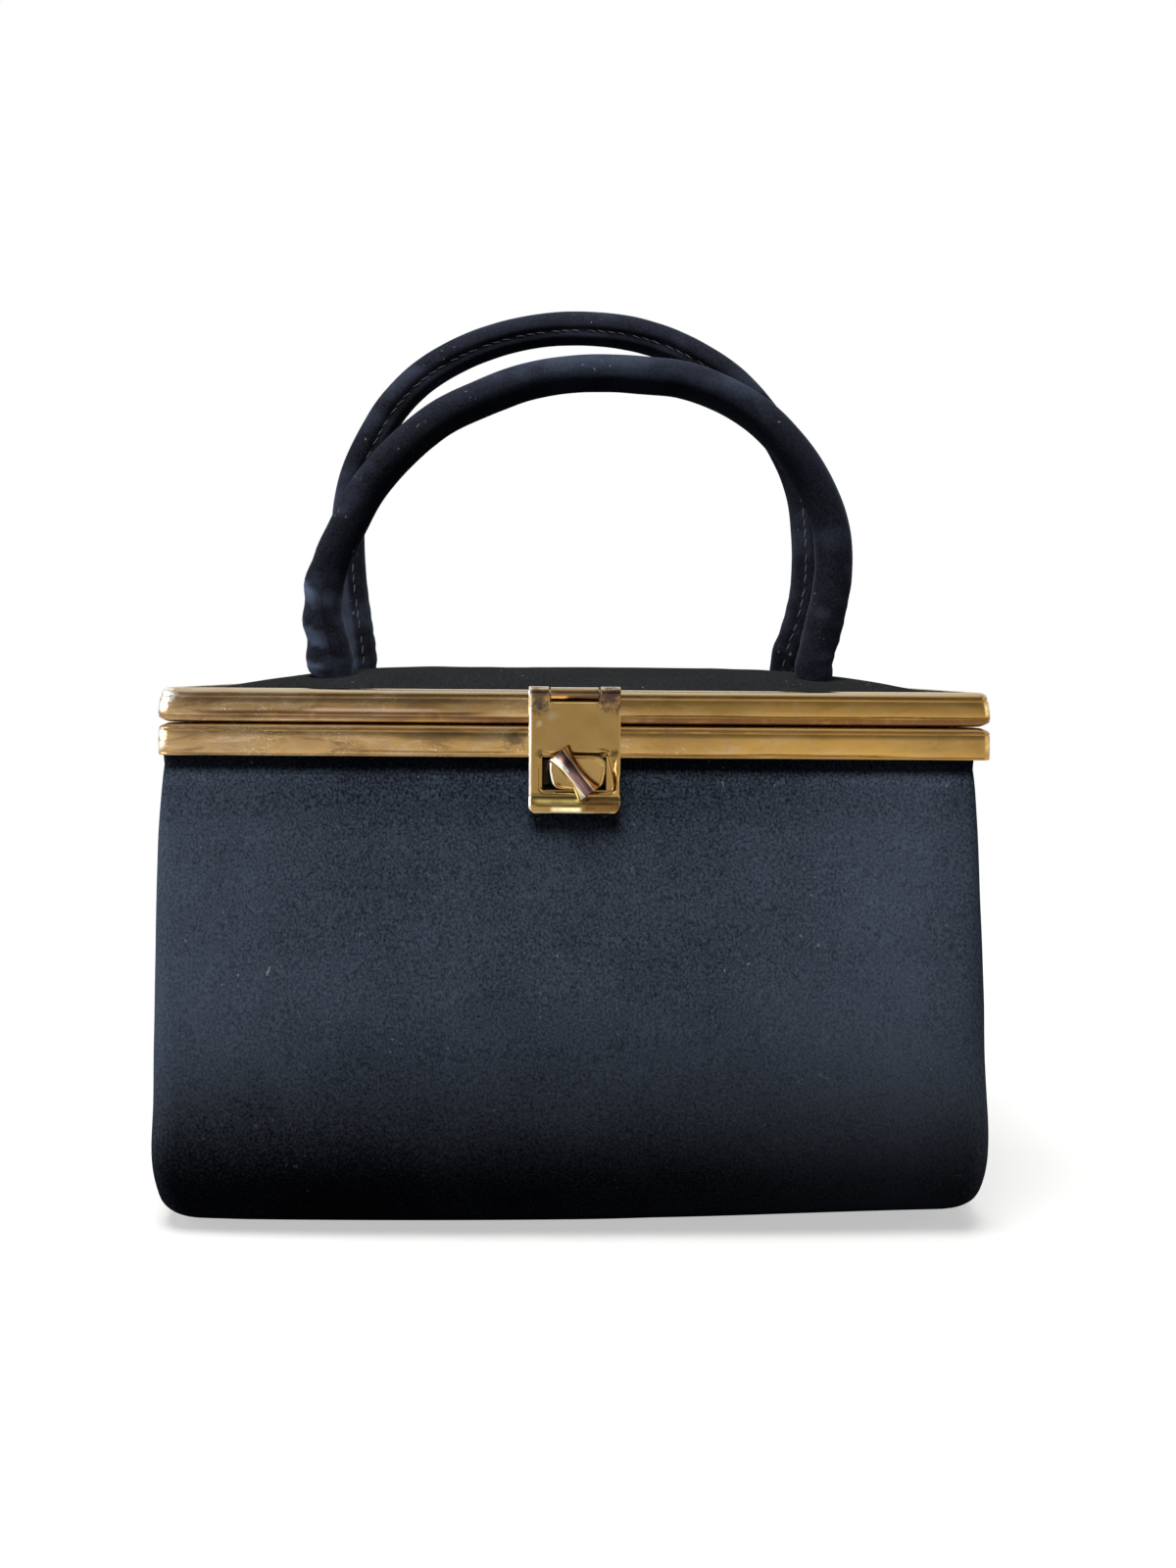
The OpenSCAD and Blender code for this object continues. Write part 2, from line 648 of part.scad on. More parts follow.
module hasp_plate() {
    side_w = (hasp_w - hasp_knuckle_w) / 2 - knuckle_gap;
    reach = hasp_barrel_d / 2 + run_clear;
    color([0.68, 0.54, 0.3]) difference() {
        intersection() {
            union() {
                translate([-hasp_w / 2, hasp_y, hasp_z]) rotate([90, 0, 90]) linear_extrude(hasp_w) hasp_section();
                hasp_barrel(-hasp_w / 2, side_w, hasp_barrel_d);
                hasp_barrel(hasp_w / 2 - side_w, side_w, hasp_barrel_d);
            }
            translate([0, hasp_y + 2 * hasp_barrel_d, hasp_z]) rotate([90, 0, 0])
                linear_extrude(4 * hasp_barrel_d) {
                    translate([0, hasp_corner - hasp_l / 2])
                        square([hasp_w, hasp_l], center = true);
                    translate([0, -hasp_l / 2]) rounded_rect(hasp_w, hasp_l, hasp_corner);
                }
        }
        translate([-hasp_knuckle_w / 2 - knuckle_gap, hasp_y - hasp_barrel_d, hasp_z - reach])
            cube([hasp_knuckle_w + 2 * knuckle_gap, 2 * hasp_barrel_d, reach + hasp_barrel_d]);
        hasp_barrel(-hasp_w / 2 - cut, hasp_w + 2 * cut, hasp_pin_d + 2 * turn_clear);
        translate([0, hasp_y + cut, lock_z]) rotate([90, 0, 0])
            linear_extrude(hasp_front + 2 * cut) square([slot_w, slot_h], center = true);
        slot_bevel();
    }
}

// The sunk border round the slot, sloping down to the edge of the slot
module slot_bevel() {
    front = hasp_y - hasp_front;
    translate([0, front, lock_z]) rotate([90, 0, 0]) hull() {
        translate([0, 0, -slot_sink]) linear_extrude(seat_clear)
            square([slot_w, slot_h], center = true);
        linear_extrude(cut) square([slot_w + 2 * slot_border, slot_h + slot_border], center = true);
    }
}

// Feet of the handles: the ends of the tubes, fixed in the lid
module handle_feet() {
    low = lid_board_z + anchor_t + 2 * glue_gap;
    high = flex_z - handle_d / 2 - foot_gap;
    color([0.17, 0.2, 0.26]) foot_places() difference() {
        translate([0, 0, low]) cylinder(d = handle_d, h = high - low);
        translate([0, 0, low - cut]) cylinder(d = anchor_rivet_d + 2 * seat_clear, h = cut + (high - low) / 2);
    }
}

module anchor_plates() {
    color([0.66, 0.6, 0.5]) foot_places() translate([0, 0, lid_board_z + glue_gap / 2]) difference() {
        cylinder(d = anchor_d, h = anchor_t);
        translate([0, 0, -cut]) cylinder(d = anchor_rivet_d + 2 * seat_clear, h = anchor_t + 2 * cut);
    }
}

module anchor_rivets() {
    low = lid_board_z + glue_gap / 2;
    head_t = glue_gap;
    shank = (flex_z - handle_d / 2 - foot_gap - lid_board_z - anchor_t - 2 * glue_gap) / 2;
    color([0.6, 0.5, 0.34]) foot_places() {
        translate([0, 0, low - head_t]) cylinder(d = 2 * anchor_rivet_d, h = head_t);
        translate([0, 0, low - head_t]) cylinder(d = anchor_rivet_d, h = head_t + anchor_t + shank);
    }
}

// Stations along a handle: x, z, direction and radius, with a ball at each end
function handle_stations(span, rise, shares, r) = let (
        pts = [for (s = shares) [s[0] * span / 2, flex_z + s[1] * rise]],
        n = len(pts) - 1)
    concat(
        [for (a = ball_angles) [pts[0][0], flex_z - r * cos(a), 90, r * sin(a)]],
        [for (i = [0:n]) let (
                d = i == 0 || i == n ? [0, i == 0 ? 1 : -1] : pts[i + 1] - pts[i - 1])
            [pts[i][0], pts[i][1], atan2(d[1], d[0]), r]],
        [for (i = [len(ball_angles) - 1:-1:0]) let (a = ball_angles[i])
            [pts[n][0], flex_z - r * cos(a), -90, r * sin(a)]]);

// A round tube along one handle, with its ends open or rounded
module handle_sweep(span, rise, shares, y, ball_r, r, overrun) {
    stations = handle_stations(span, rise, shares, ball_r);
    rings = [for (i = [0:len(stations) - 1]) let (
            s = stations[i],
            rad = min(s[3], r),
            z = s[1] - (i == 0 || i == len(stations) - 1 ? overrun : 0))
        [for (k = [0:handle_sides - 1]) let (a = -360 * k / handle_sides)
            [s[0] - rad * cos(a) * sin(s[2]), y + rad * sin(a), z + rad * cos(a) * cos(s[2])]]];
    loft(rings);
}

module handle_cover(span, rise, shares, y) {
    difference() {
        handle_sweep(span, rise, shares, y, handle_d / 2, handle_d / 2, 0);
        handle_sweep(span, rise, shares, y, handle_d, handle_core_d / 2 + glue_gap, cut);
    }
}

module front_handle_cover() {
    color([0.18, 0.21, 0.28]) handle_cover(front_span, front_rise, front_route_shares, -handle_offset);
}

module front_handle_core() {
    color([0.85, 0.83, 0.78]) handle_sweep(front_span, front_rise, front_route_shares, -handle_offset,
        handle_d / 2, handle_core_d / 2, 0);
}

module rear_handle_cover() {
    color([0.16, 0.19, 0.25]) handle_cover(rear_span, rear_rise, rear_route_shares, handle_offset);
}

module rear_handle_core() {
    color([0.85, 0.83, 0.78]) handle_sweep(rear_span, rear_rise, rear_route_shares, handle_offset,
        handle_d / 2, handle_core_d / 2, 0);
}

body_board();
body_cover();
base_panel();
body_lining();
lining_pocket();
lower_frame();
rear_hinge_lower();
rear_hinge_pin();
turnlock_base();
turnlock_backplate();
knob_head();
knob_shaft();
knob_washer();
lid_board();
lid_padding();
lid_cover();
lid_lining();
upper_frame();
rear_hinge_upper();
hasp_hinge_leaf();
hasp_hinge_pin();
handle_feet();
anchor_plates();
anchor_rivets();
hasp_plate();
front_handle_cover();
front_handle_core();
rear_handle_cover();
rear_handle_core();
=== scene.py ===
# Box purse in dark satin with a plated frame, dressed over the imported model.
# Lengths in the dictionaries are millimetres, the same numbers as in the part's source.
import math

import bmesh
import bpy
from mathutils import Matrix, Vector, noise


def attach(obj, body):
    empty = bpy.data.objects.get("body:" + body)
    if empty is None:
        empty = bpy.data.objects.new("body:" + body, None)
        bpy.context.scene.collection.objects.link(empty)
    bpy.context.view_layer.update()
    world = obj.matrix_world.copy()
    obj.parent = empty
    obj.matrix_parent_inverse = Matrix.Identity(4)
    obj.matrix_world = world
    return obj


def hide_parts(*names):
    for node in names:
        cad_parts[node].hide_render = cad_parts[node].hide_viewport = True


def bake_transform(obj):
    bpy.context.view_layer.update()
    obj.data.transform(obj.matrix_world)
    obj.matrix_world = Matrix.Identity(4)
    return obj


mm = 0.001
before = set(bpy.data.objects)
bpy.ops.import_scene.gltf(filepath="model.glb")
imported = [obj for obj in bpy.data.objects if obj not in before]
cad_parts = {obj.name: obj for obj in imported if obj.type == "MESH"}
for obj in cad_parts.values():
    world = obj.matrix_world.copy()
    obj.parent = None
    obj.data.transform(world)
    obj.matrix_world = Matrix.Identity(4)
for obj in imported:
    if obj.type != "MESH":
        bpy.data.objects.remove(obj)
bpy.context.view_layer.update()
print("frame loaded:", len(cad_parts), "nodes")


# Camera

cameraPlace = {
    "aside": -2.1,
    "distance": 336,  # from the front of the frame
    "height": 154.5,
    "roll": 0.39,  # degrees
    "frontOfFrame": -45,
    "lens": 29.39,
    "shiftX": 0.0135,
    "shiftY": -0.0757,
}


def placeCamera():
    p = cameraPlace
    data = bpy.data.cameras.new("camera")
    data.sensor_fit = "AUTO"
    data.sensor_width = 36
    data.lens = p["lens"]
    data.shift_x = p["shiftX"]
    data.shift_y = p["shiftY"]
    data.clip_start = 0.01
    data.clip_end = 20
    camera = bpy.data.objects.new("camera", data)
    bpy.context.scene.collection.objects.link(camera)
    place = Vector((p["aside"], p["frontOfFrame"] - p["distance"], p["height"])) * mm
    turn = Matrix.Rotation(math.radians(90), 4, "X") @ Matrix.Rotation(math.radians(p["roll"]), 4, "Z")
    camera.matrix_world = Matrix.Translation(place) @ turn
    bpy.context.scene.camera = camera


placeCamera()
print("camera placed")


# Shader maths: one socket that adds Math nodes when it is used in an expression


class Sock:
    def __init__(self, tree, socket=None):
        self.tree = tree
        self.socket = socket

    # settings first, then a value or a link for each socket
    def node(self, kind, settings=None, sockets=None, out=0):
        made = self.tree.nodes.new("ShaderNode" + kind)
        for key, value in (settings or {}).items():
            if key == "stops":
                stops = made.color_ramp.elements
                for stop, (place, colour) in zip(stops, (value[0], value[-1])):
                    stop.position = place
                    stop.color = colour
                for place, colour in value[1:-1]:
                    stops.new(place).color = colour
            else:
                setattr(made, key, value)
        for key, value in (sockets or {}).items():
            if isinstance(value, Sock):
                self.tree.links.new(value.socket, made.inputs[key])
            else:
                made.inputs[key].default_value = value
        return Sock(self.tree, made.outputs[out] if made.outputs else None)

    def maths(self, operation, first, second=0.0, clamp=False):
        return self.node("Math", {"operation": operation, "use_clamp": clamp}, {0: first, 1: second})

    def __add__(self, other):
        return self.maths("ADD", self, other)

    __radd__ = __add__

    def __sub__(self, other):
        return self.maths("SUBTRACT", self, other)

    def __rsub__(self, other):
        return self.maths("SUBTRACT", other, self)

    def __mul__(self, other):
        return self.maths("MULTIPLY", self, other)

    __rmul__ = __mul__

    def clamped(self):
        return self.maths("ADD", self, 0.0, True)

    # 0 below low, 1 above high
    def step(self, low, high):
        return self.maths("MULTIPLY", self - low, 1 / (high - low), True)

    def noise(self, vector, scale, detail=2.0, rough=0.5, twist=0.0):
        return self.node("TexNoise", None, {
            "Vector": vector, "Scale": scale, "Detail": detail, "Roughness": rough, "Distortion": twist})

    # the three parts of this vector
    def parts(self):
        split = self.node("SeparateXYZ", None, {0: self})
        return [Sock(self.tree, out) for out in split.socket.node.outputs]

    def stretched(self, vector, scale):
        return self.node("Mapping", {"vector_type": "POINT"}, {"Vector": vector, "Scale": scale})

    def mixed(self, share, first, second, blend="MIX"):
        settings = {"data_type": "RGBA", "blend_type": blend}
        return self.node("Mix", settings, {0: share, 6: first, 7: second}, 2)

    def between(self, share, first, second):
        return self.mixed(share.clamped(), shade(*first), shade(*second))

    # this colour with a tone laid over it by a share
    def covered(self, share, tone):
        return self.mixed(share.clamped(), self, shade(*tone))

    def bump(self, height, strength, distance):
        return self.node("Bump", None, {"Strength": strength, "Distance": distance, "Height": height})


def shade(red, green, blue):
    def linear(v):
        v = v / 255
        return v / 12.92 if v <= 0.04045 else ((v + 0.055) / 1.055) ** 2.4
    return (linear(red), linear(green), linear(blue), 1.0)


# The material, what adds its nodes, and the place on the object
def newMaterial(name):
    material = bpy.data.materials.new(name)
    material.use_nodes = True
    material.node_tree.nodes.clear()
    s = Sock(material.node_tree)
    return material, s, s.node("TexCoord", None, None, 3)


def closeMaterial(s, sockets):
    surface = s.node("BsdfPrincipled", None, sockets)
    s.node("OutputMaterial", None, {"Surface": surface})


def closeMetal(s, colour, rough, bump):
    closeMaterial(s, {"Base Color": colour, "Metallic": 1.0, "Roughness": rough, "Normal": bump})


# Satin and lining

satinLooks = {
    "case": {
        # worn: the case's tone, with painted sheen at its ends and painted shade under the frame and near
        # the foot
        "light": (66, 74, 88), "dark": (16, 20, 27), "sheen": 0.02, "rough": 0.7, "worn": True},
    # painted shade: the lid's and the handles' satin is the case's satin made darker, for how the light
    # falls on them
    "lid": {"light": (32, 33, 34), "dark": (8, 9, 10), "sheen": 0.0, "rough": 0.7},
    "handle": {
        "light": (27, 28, 35), "dark": (5, 6, 9), "sheen": 0.07, "rough": 0.6, "nap": (80, 90, 112)},
    "base": {"light": (26, 28, 34), "dark": (12, 13, 17), "sheen": 0.03, "rough": 0.7},
    "lint": (150, 148, 150), "sheenTint": (190, 205, 235), "sheenRough": 0.42,
    "grainAcross": 1700,  # grains to the metre
    "grainUp": 1350,
    "cloud": 45,
    "specular": 0.0,
    "grainDepth": 0.00012,
}

# Where the case's satin is paler or darker, partly by painted sheen and painted shade: from, to, in metres
# across or up, and how much
caseToneAndPaintedLight = {
    "ends": (0.045, 0.1, 0.3), "endsAside": 0.009, "atRightEnd": (0.09, 0.11, 0.9), "between": 0.35,
    "bellyLow": (0.03, 0.044), "bellyHigh": (0.056, 0.08), "belly": 0.12,
    "underFrame": (0.108, 0.128, 0.3),
    "footLow": (-0.002, 0.01), "footHigh": (0.01, 0.034), "foot": 0.3,
    "lowPart": (0.022, 0.068), "towardsRight": (-0.11, 0.09, 0.46), "farLeft": (-0.12, -0.03, 0.24),
    "lessBlue": (0.02, 0.05, 0.9), "warmth": (1.14, 1.03, 0.92, 1),
}


# Painted sheen makes both ends paler and painted shade darkens the cloth under the frame and near the foot;
# the belly is paler, and the lower part is paler towards the right and darker at the far left
def caseToneWithPaintedLight(s, across, up, tone):
    p = caseToneAndPaintedLight
    # painted sheen at both ends, less of it at the right end
    fromX, toX, share = p["ends"]
    ends = s.maths("ABSOLUTE", across + p["endsAside"]).step(fromX, toX)
    fromX, toX, less = p["atRightEnd"]
    ends = ends - across.step(fromX, toX) * less
    tone = tone + ends * share - share * p["between"]
    belly = up.step(*p["bellyLow"]) - up.step(*p["bellyHigh"])
    # painted shade under the frame and near the foot
    fromZ, toZ, under = p["underFrame"]
    foot = up.step(*p["footLow"]) - up.step(*p["footHigh"])
    tone = tone + belly * p["belly"] - up.step(fromZ, toZ) * under - foot * p["foot"]
    fromX, toX, right = p["towardsRight"]
    aside = (across.step(fromX, toX) - 0.5) * right
    fromX, toX, left = p["farLeft"]
    aside = aside - (1 - across.step(fromX, toX)) * left
    return tone + (1 - up.step(*p["lowPart"])) * aside


def satinMaterial(name, look):
    p = satinLooks
    material, s, place = newMaterial(name)
    grainPlace = s.stretched(place, (p["grainAcross"], p["grainAcross"], p["grainUp"]))
    grain = s.noise(grainPlace, 1.0, 2.0, 0.6)
    fine = s.noise(grainPlace, 2.7, 1.0, 0.5)
    cloud = s.noise(place, p["cloud"], 3.0, 0.55)
    lint = s.noise(place, 900, 0.0).step(0.79, 0.84) * s.noise(place, 60, 1.0).step(0.5, 0.7)
    tone = grain.step(0.25, 0.75) * 0.9 + fine * 0.35 + cloud * 0.35 - 0.28
    # the case's tone, with painted sheen at its ends and painted shade under the frame and near the foot
    if "worn" in look:
        across, _, up = place.parts()
        tone = caseToneWithPaintedLight(s, across, up, tone)
    colour = s.between(tone, look["dark"], look["light"])
    if "worn" in look:  # the lower part is less blue
        fromZ, toZ, share = caseToneAndPaintedLight["lessBlue"]
        colour = s.mixed((1 - up.step(fromZ, toZ)) * share, colour, caseToneAndPaintedLight["warmth"], "MULTIPLY")
    if "nap" in look:  # painted light and sheen, marked on the mesh, and soft paler patches at random between them
        patch = s.noise(s.stretched(place, (60, 60, 80)), 1.0, 2.0, 0.5)
        nap = s.node("Attribute", {"attribute_name": "nap"}, None, 2) + patch.step(0.5, 0.68) * 0.11
        colour = colour.covered(nap * (grain * 0.6 + 0.7), look["nap"])
    colour = colour.covered(lint * 0.4, p["lint"])
    bump = s.bump(grain + fine * 0.4, 0.6, p["grainDepth"])
    closeMaterial(s, {
        "Base Color": colour, "Roughness": grain * 0.2 + (look["rough"] - 0.1), "Normal": bump,
        "Specular IOR Level": p["specular"], "Sheen Weight": look["sheen"],
        "Sheen Roughness": p["sheenRough"], "Sheen Tint": shade(*p["sheenTint"]),
    })
    return material


def liningMaterial():
    material, s, place = newMaterial("lining")
    weave = s.noise(s.stretched(place, (900, 2400, 2400)), 1.0, 2.0)
    cloud = s.noise(place, 40, 3.0)
    crease = s.noise(s.stretched(place, (34, 60, 26)), 1.0, 3.0, 0.5, 1.4)
    # the tone follows the creases of the bump, painting shade into their hollows
    tone = weave.step(0.3, 0.7) * 0.55 + cloud * 0.3 + crease.step(0.3, 0.7) * 0.25 - 0.05
    colour = s.between(tone, (14, 14, 18), (46, 46, 54))
    bump = s.bump(crease + weave * 0.08, 0.6, 0.0008)
    closeMaterial(s, {
        "Base Color": colour, "Roughness": cloud * 0.2 + 0.45, "Normal": bump,
        "Specular IOR Level": 0.12, "Sheen Weight": 0.05,
    })
    return material


# Plated metal, with the wear of an old frame

knob = {"z": 126.509, "turn": 52.5, "ridge": 2.9}

platingLooks = {
    "bar": {
        "face": (202, 156, 76), "worn": (206, 180, 138), "stain": (96, 64, 30), "dull": (168, 142, 110),
        "rough": 0.2, "wear": 1.0, "paintedReflectionsAndScratches": 0.8},
    "hasp": {
        "face": (166, 132, 74), "worn": (192, 164, 114), "stain": (70, 56, 44), "dull": (150, 122, 74),
        # edge: a painted highlight along the left edge
        "rough": 0.17, "wear": 0.7, "edge": (255, 250, 236)},
    "lock": {
        "face": (176, 142, 84), "worn": (204, 178, 126), "stain": (66, 50, 34), "dull": (160, 132, 84),
        "rough": 0.2, "wear": 0.7, "recessShade": 0.97},
    # rim: white, the painted highlight on the left of the lock boss's rim
    "rim": {
        "face": (255, 252, 240), "worn": (255, 246, 220), "stain": (196, 170, 120), "dull": (255, 250, 232),
        "rough": 0.2, "wear": 0.3},
    "hinge": {
        "face": (180, 142, 84), "worn": (200, 170, 120), "stain": (82, 62, 40), "dull": (150, 124, 84),
        "rough": 0.26, "wear": 0.8},
}


# A thin line at a height that wanders along the frame
def wanderingLine(s, along, height, at, wander, width):
    drift = s.noise(s.node("CombineXYZ", None, {0: along + at, 1: at}), 26, 2.0, 0.5) - 0.5
    off = s.maths("ABSOLUTE", height - at * mm - drift * (wander * mm))
    return 1 - off.step(width * 0.35 * mm, width * mm)


# 1 at a spot on the front, 0 beyond its reach, with a ragged edge
def smudge(s, place, ragged, at, reach):
    away = s.node("VectorMath", {"operation": "DISTANCE"}, {0: place, 1: Vector(at) * mm}, 1)
    return 1 - (away + (ragged - 0.5) * (reach * 2.2 * mm)).step(reach * 0.35 * mm, reach * mm)


def platingMaterial(name, look, lines=(), smudges=()):
    material, s, place = newMaterial(name)
    across, depth, height = place.parts()
    wear = look["wear"]
    mottle = s.noise(place, 130, 5.0, 0.62, 0.4)
    patch = s.noise(place, 38, 2.0, 0.5)
    hair = s.noise(s.stretched(place, (60, 60, 2600)), 1.0, 2.0, 0.6)
    pits = s.noise(place, 1100, 1.0, 0.5)
    ragged = s.noise(place, 700, 4.0, 0.65)
    # the left half of the frame is more mottled, worn and dull than the right, and carries painted
    # reflections
    leftWearAndReflection = (0.35 - across * 6).clamped() * 0.7 + 0.2
    worn = (mottle.step(0.5, 0.66) * leftWearAndReflection * 0.8 + pits.step(0.7, 0.78) * 0.5 * leftWearAndReflection) * wear
    stain = patch.step(0.5, 0.75) * 0.4 + mottle.step(0.56, 0.7) * patch.step(0.4, 0.6) * leftWearAndReflection * 0.6
    colour = s.between(worn, look["face"], look["worn"])
    colour = colour.covered(leftWearAndReflection * 0.8, look["dull"])
    colour = colour.covered(stain * wear, look["stain"])
    if "paintedReflectionsAndScratches" in look:
        # painted reflections: dark and light smears over the left half; then fine scratches
        long = s.noise(s.stretched(place, (70, 70, 330)), 1.0, 4.0, 0.6, 0.6)
        colour = colour.covered(long.step(0.52, 0.7) * leftWearAndReflection * look["paintedReflectionsAndScratches"], (92, 66, 44))
        colour = colour.covered((1 - long.step(0.3, 0.46)) * leftWearAndReflection * look["paintedReflectionsAndScratches"], (222, 192, 162))
        wire = s.maths("ABSOLUTE", s.noise(s.stretched(place, (380, 380, 900)), 1.0, 1.0, 0.5, 0.9) - 0.5)
        scratch = (1 - wire.step(0.003, 0.014)) * s.noise(place, 90, 1.0).step(0.52, 0.6) * leftWearAndReflection
        colour = colour.covered(scratch, (232, 214, 180))
    for tone, at, wander, width, share, fromX, toX in lines:
        line = wanderingLine(s, across, height, at, wander, width) * (mottle.step(0.3, 0.5) * 0.4 + 0.6)
        fromX, toX = fromX * mm, toX * mm
        fade = (toX - fromX) * 0.12
        line = line * across.step(fromX, fromX + fade) * (1 - across.step(toX - fade, toX))
        colour = colour.covered(line * share, tone)
    for tone, at, reach, share in smudges:
        colour = colour.covered(smudge(s, place, ragged, at, reach) * share, tone)
    if "edge" in look:  # a painted highlight along the left edge
        colour = colour.covered((1 - across.step(-11.7 * mm, -11.0 * mm)) * 0.9, look["edge"])
    if "recessShade" in look:  # painted shade in the depth of the slot
        colour = colour.covered(depth.step(-47.75 * mm, -47.3 * mm) * look["recessShade"], (14, 11, 9))
    rough = mottle.step(0.4, 0.75) * 0.12 + hair * 0.05 + (look["rough"] - 0.03)
    closeMetal(s, colour, rough, s.bump(patch * 1.2 + mottle * 0.3 + hair * 0.05, 0.3, 0.00006))
    return material


# Dark tarnish along the rolls of both bars, painted dark reflections that wander over the left half, and
# painted highlights along the lips and in a pinkish streak:
# colour, height, how far it wanders, width, strength, from x, to x
barLines = (
    ((200, 184, 156), 147.6, 0.3, 1.1, 0.85, -130, 130),
    ((84, 56, 24), 146.3, 0.25, 0.45, 0.8, -130, 130),
    ((80, 52, 22), 141.2, 0.9, 0.42, 0.85, -12, 130),
    ((96, 58, 38), 139.9, 0.2, 1.3, 0.85, -40, 130),
    ((70, 44, 24), 141.6, 1.2, 0.7, 0.8, -104, -18),
    ((96, 64, 42), 140.4, 0.7, 0.9, 0.7, -112, -10),
    ((226, 186, 160), 142.4, 0.8, 0.6, 0.7, -72, -34),
    ((110, 90, 68), 145.0, 0.5, 1.2, 0.6, -108, -20),
    ((190, 164, 120), 138.3, 0.2, 0.5, 0.5, -130, 130),
    ((96, 62, 28), 137.1, 0.3, 0.4, 0.75, -130, 130),
    ((88, 62, 26), 131.2, 0.9, 0.36, 0.8, 6, 90),
    ((70, 44, 20), 130.2, 0.1, 0.3, 0.6, -130, 130),
    ((96, 70, 44), 131.6, 0.8, 0.5, 0.7, -62, -14),
    ((90, 72, 52), 135.6, 0.6, 1.4, 0.5, -48, -12),
)
# Painted highlights on the corners at both ends, and a dark smudge by the clasp: colour, place, reach,
# strength
barSmudges = (
    ((255, 252, 240), (-107.8, -44.8, 146.2), 3.7, 1),
    ((255, 252, 240), (-108.6, -44.8, 143.6), 2.0, 1),
    ((255, 250, 236), (-109.2, -44.4, 135.8), 1.9, 0.9),
    ((255, 250, 236), (-109.2, -44.4, 133.0), 1.8, 0.9),
    ((74, 66, 46), (-15.6, -45, 135.2), 3.4, 0.7),
    ((238, 214, 160), (109.6, -44, 144.5), 2.6, 0.8),
    ((226, 196, 136), (109.6, -44, 134), 2.2, 0.6),
)
# Painted reflections: bright and dark bands round the barrel of the hasp's hinge and along its rolled lower
# edge
haspLines = (
    ((222, 206, 180), 148.62, 0.1, 0.55, 0.85, -20, 20),
    ((104, 80, 66), 147.2, 0.15, 1.3, 0.8, -20, 20),
    ((244, 178, 94), 146.0, 0.2, 0.65, 0.95, -6.9, -1.6),
    ((62, 42, 34), 146.0, 0.2, 0.9, 0.85, -2.4, 7),
    ((236, 204, 136), 144.75, 0.05, 0.2, 0.7, -6.3, 6.3),
    ((92, 84, 50), 120.5, 0.4, 0.9, 0.75, -14, 2),
    ((66, 52, 30), 119.6, 0.3, 0.6, 0.7, -1, 14),
    ((255, 232, 140), 118.9, 0.35, 0.85, 0.95, -10.8, 2.2),
    ((255, 250, 196), 116.95, 0.3, 0.8, 1, -6.4, 2.2),
    ((96, 66, 34), 117.95, 0.3, 0.5, 0.8, -11, 3),
    ((84, 56, 30), 117.5, 0.5, 1.3, 0.85, 1.8, 14),
    ((214, 198, 166), 115.9, 0.1, 0.45, 0.9, -14, 14),
)
haspSmudges = (
    ((58, 54, 54), (-9.2, -48.2, 143.8), 2.8, 0.9),
    ((72, 55, 52), (9.4, -48.4, 145.9), 4.2, 0.95),
    ((76, 62, 52), (-9.2, -48.6, 146.2), 3.0, 0.8),
    ((226, 214, 184), (-9.2, -47.8, 139.2), 0.9, 0.25),
    ((206, 192, 160), (-5.8, -47.8, 141.4), 1.6, 0.22),
    ((118, 84, 48), (7, -47.8, 117.6), 4.2, 0.7),
    ((62, 44, 26), (-8.9, -47.3, 131.5), 1.5, 0.7),
    ((62, 44, 26), (10.3, -47.3, 131.5), 1.5, 0.8),
)


# The knob, with painted light and shade: a dark mauve ridge painted lighter at one side, between a painted
# lit facet and a painted shaded one, each edge painted bright
knobPaintedLight = {
    "ridge": (158, 128, 122), "shadow": (84, 58, 52), "litFacet": (226, 198, 132), "shadedFacet": (166, 110, 56),
    "edge": (255, 246, 224), "dark": (44, 24, 18), "spot": (255, 250, 246),
}


def knobMaterial():
    p = knobPaintedLight
    material, s, place = newMaterial("plated knob")
    turn = math.radians(knob["turn"])
    centre = Vector((0, 0, knob["z"])) * mm
    fromCentre = s.node("VectorMath", {"operation": "SUBTRACT"}, {0: place, 1: centre})
    across, along = (
        s.node("VectorMath", {"operation": "DOT_PRODUCT"}, {0: fromCentre, 1: way}, 1)
        for way in ((math.sin(turn), 0, math.cos(turn)), (math.cos(turn), 0, -math.sin(turn))))
    cloud = s.noise(place, 260, 3.0)
    half = knob["ridge"] / 2 * mm
    hollow = s.between(across.step(-half * 0.7, half * 0.5), p["ridge"], p["shadow"])
    litFacet = s.between(across.step(-half * 1.75, -half * 1.3), p["edge"], p["litFacet"])
    colour = s.mixed(across.step(-half * 1.1, -half * 0.9), litFacet, hollow)
    colour = colour.covered(across.step(half * 0.9, half * 1.1), p["shadedFacet"])
    for side, share in ((-1, 0.9), (1, 0.3)):
        line = 1 - s.maths("ABSOLUTE", across - half * side).step(0.08 * mm, 0.26 * mm)
        colour = colour.covered(line * share, p["edge"])
    colour = colour.covered(along.step(3.6 * mm, 6 * mm) * cloud.step(0.3, 0.6) * 0.6, p["dark"])
    # fine lines that run the length of the knob, and one painted highlight spot near its upper end
    lines = s.noise(s.node("CombineXYZ", None, {0: across * 1500, 1: along * 130}), 1.0, 2.0, 0.6)
    colour = colour.covered(lines.step(0.52, 0.66) * 0.55, p["dark"])
    colour = colour.covered((1 - lines.step(0.3, 0.4)) * 0.4, p["edge"])
    spot = s.maths("ABSOLUTE", along + 2.6 * mm).step(0.8 * mm, 1.7 * mm)
    spot = spot + s.maths("ABSOLUTE", across + 0.7 * mm + cloud * 0.4 * mm).step(0.1 * mm, 0.45 * mm)
    colour = colour.covered(1 - spot, p["spot"])
    closeMetal(s, colour, cloud * 0.1 + 0.1, s.bump(cloud, 0.25, 0.00006))
    return material


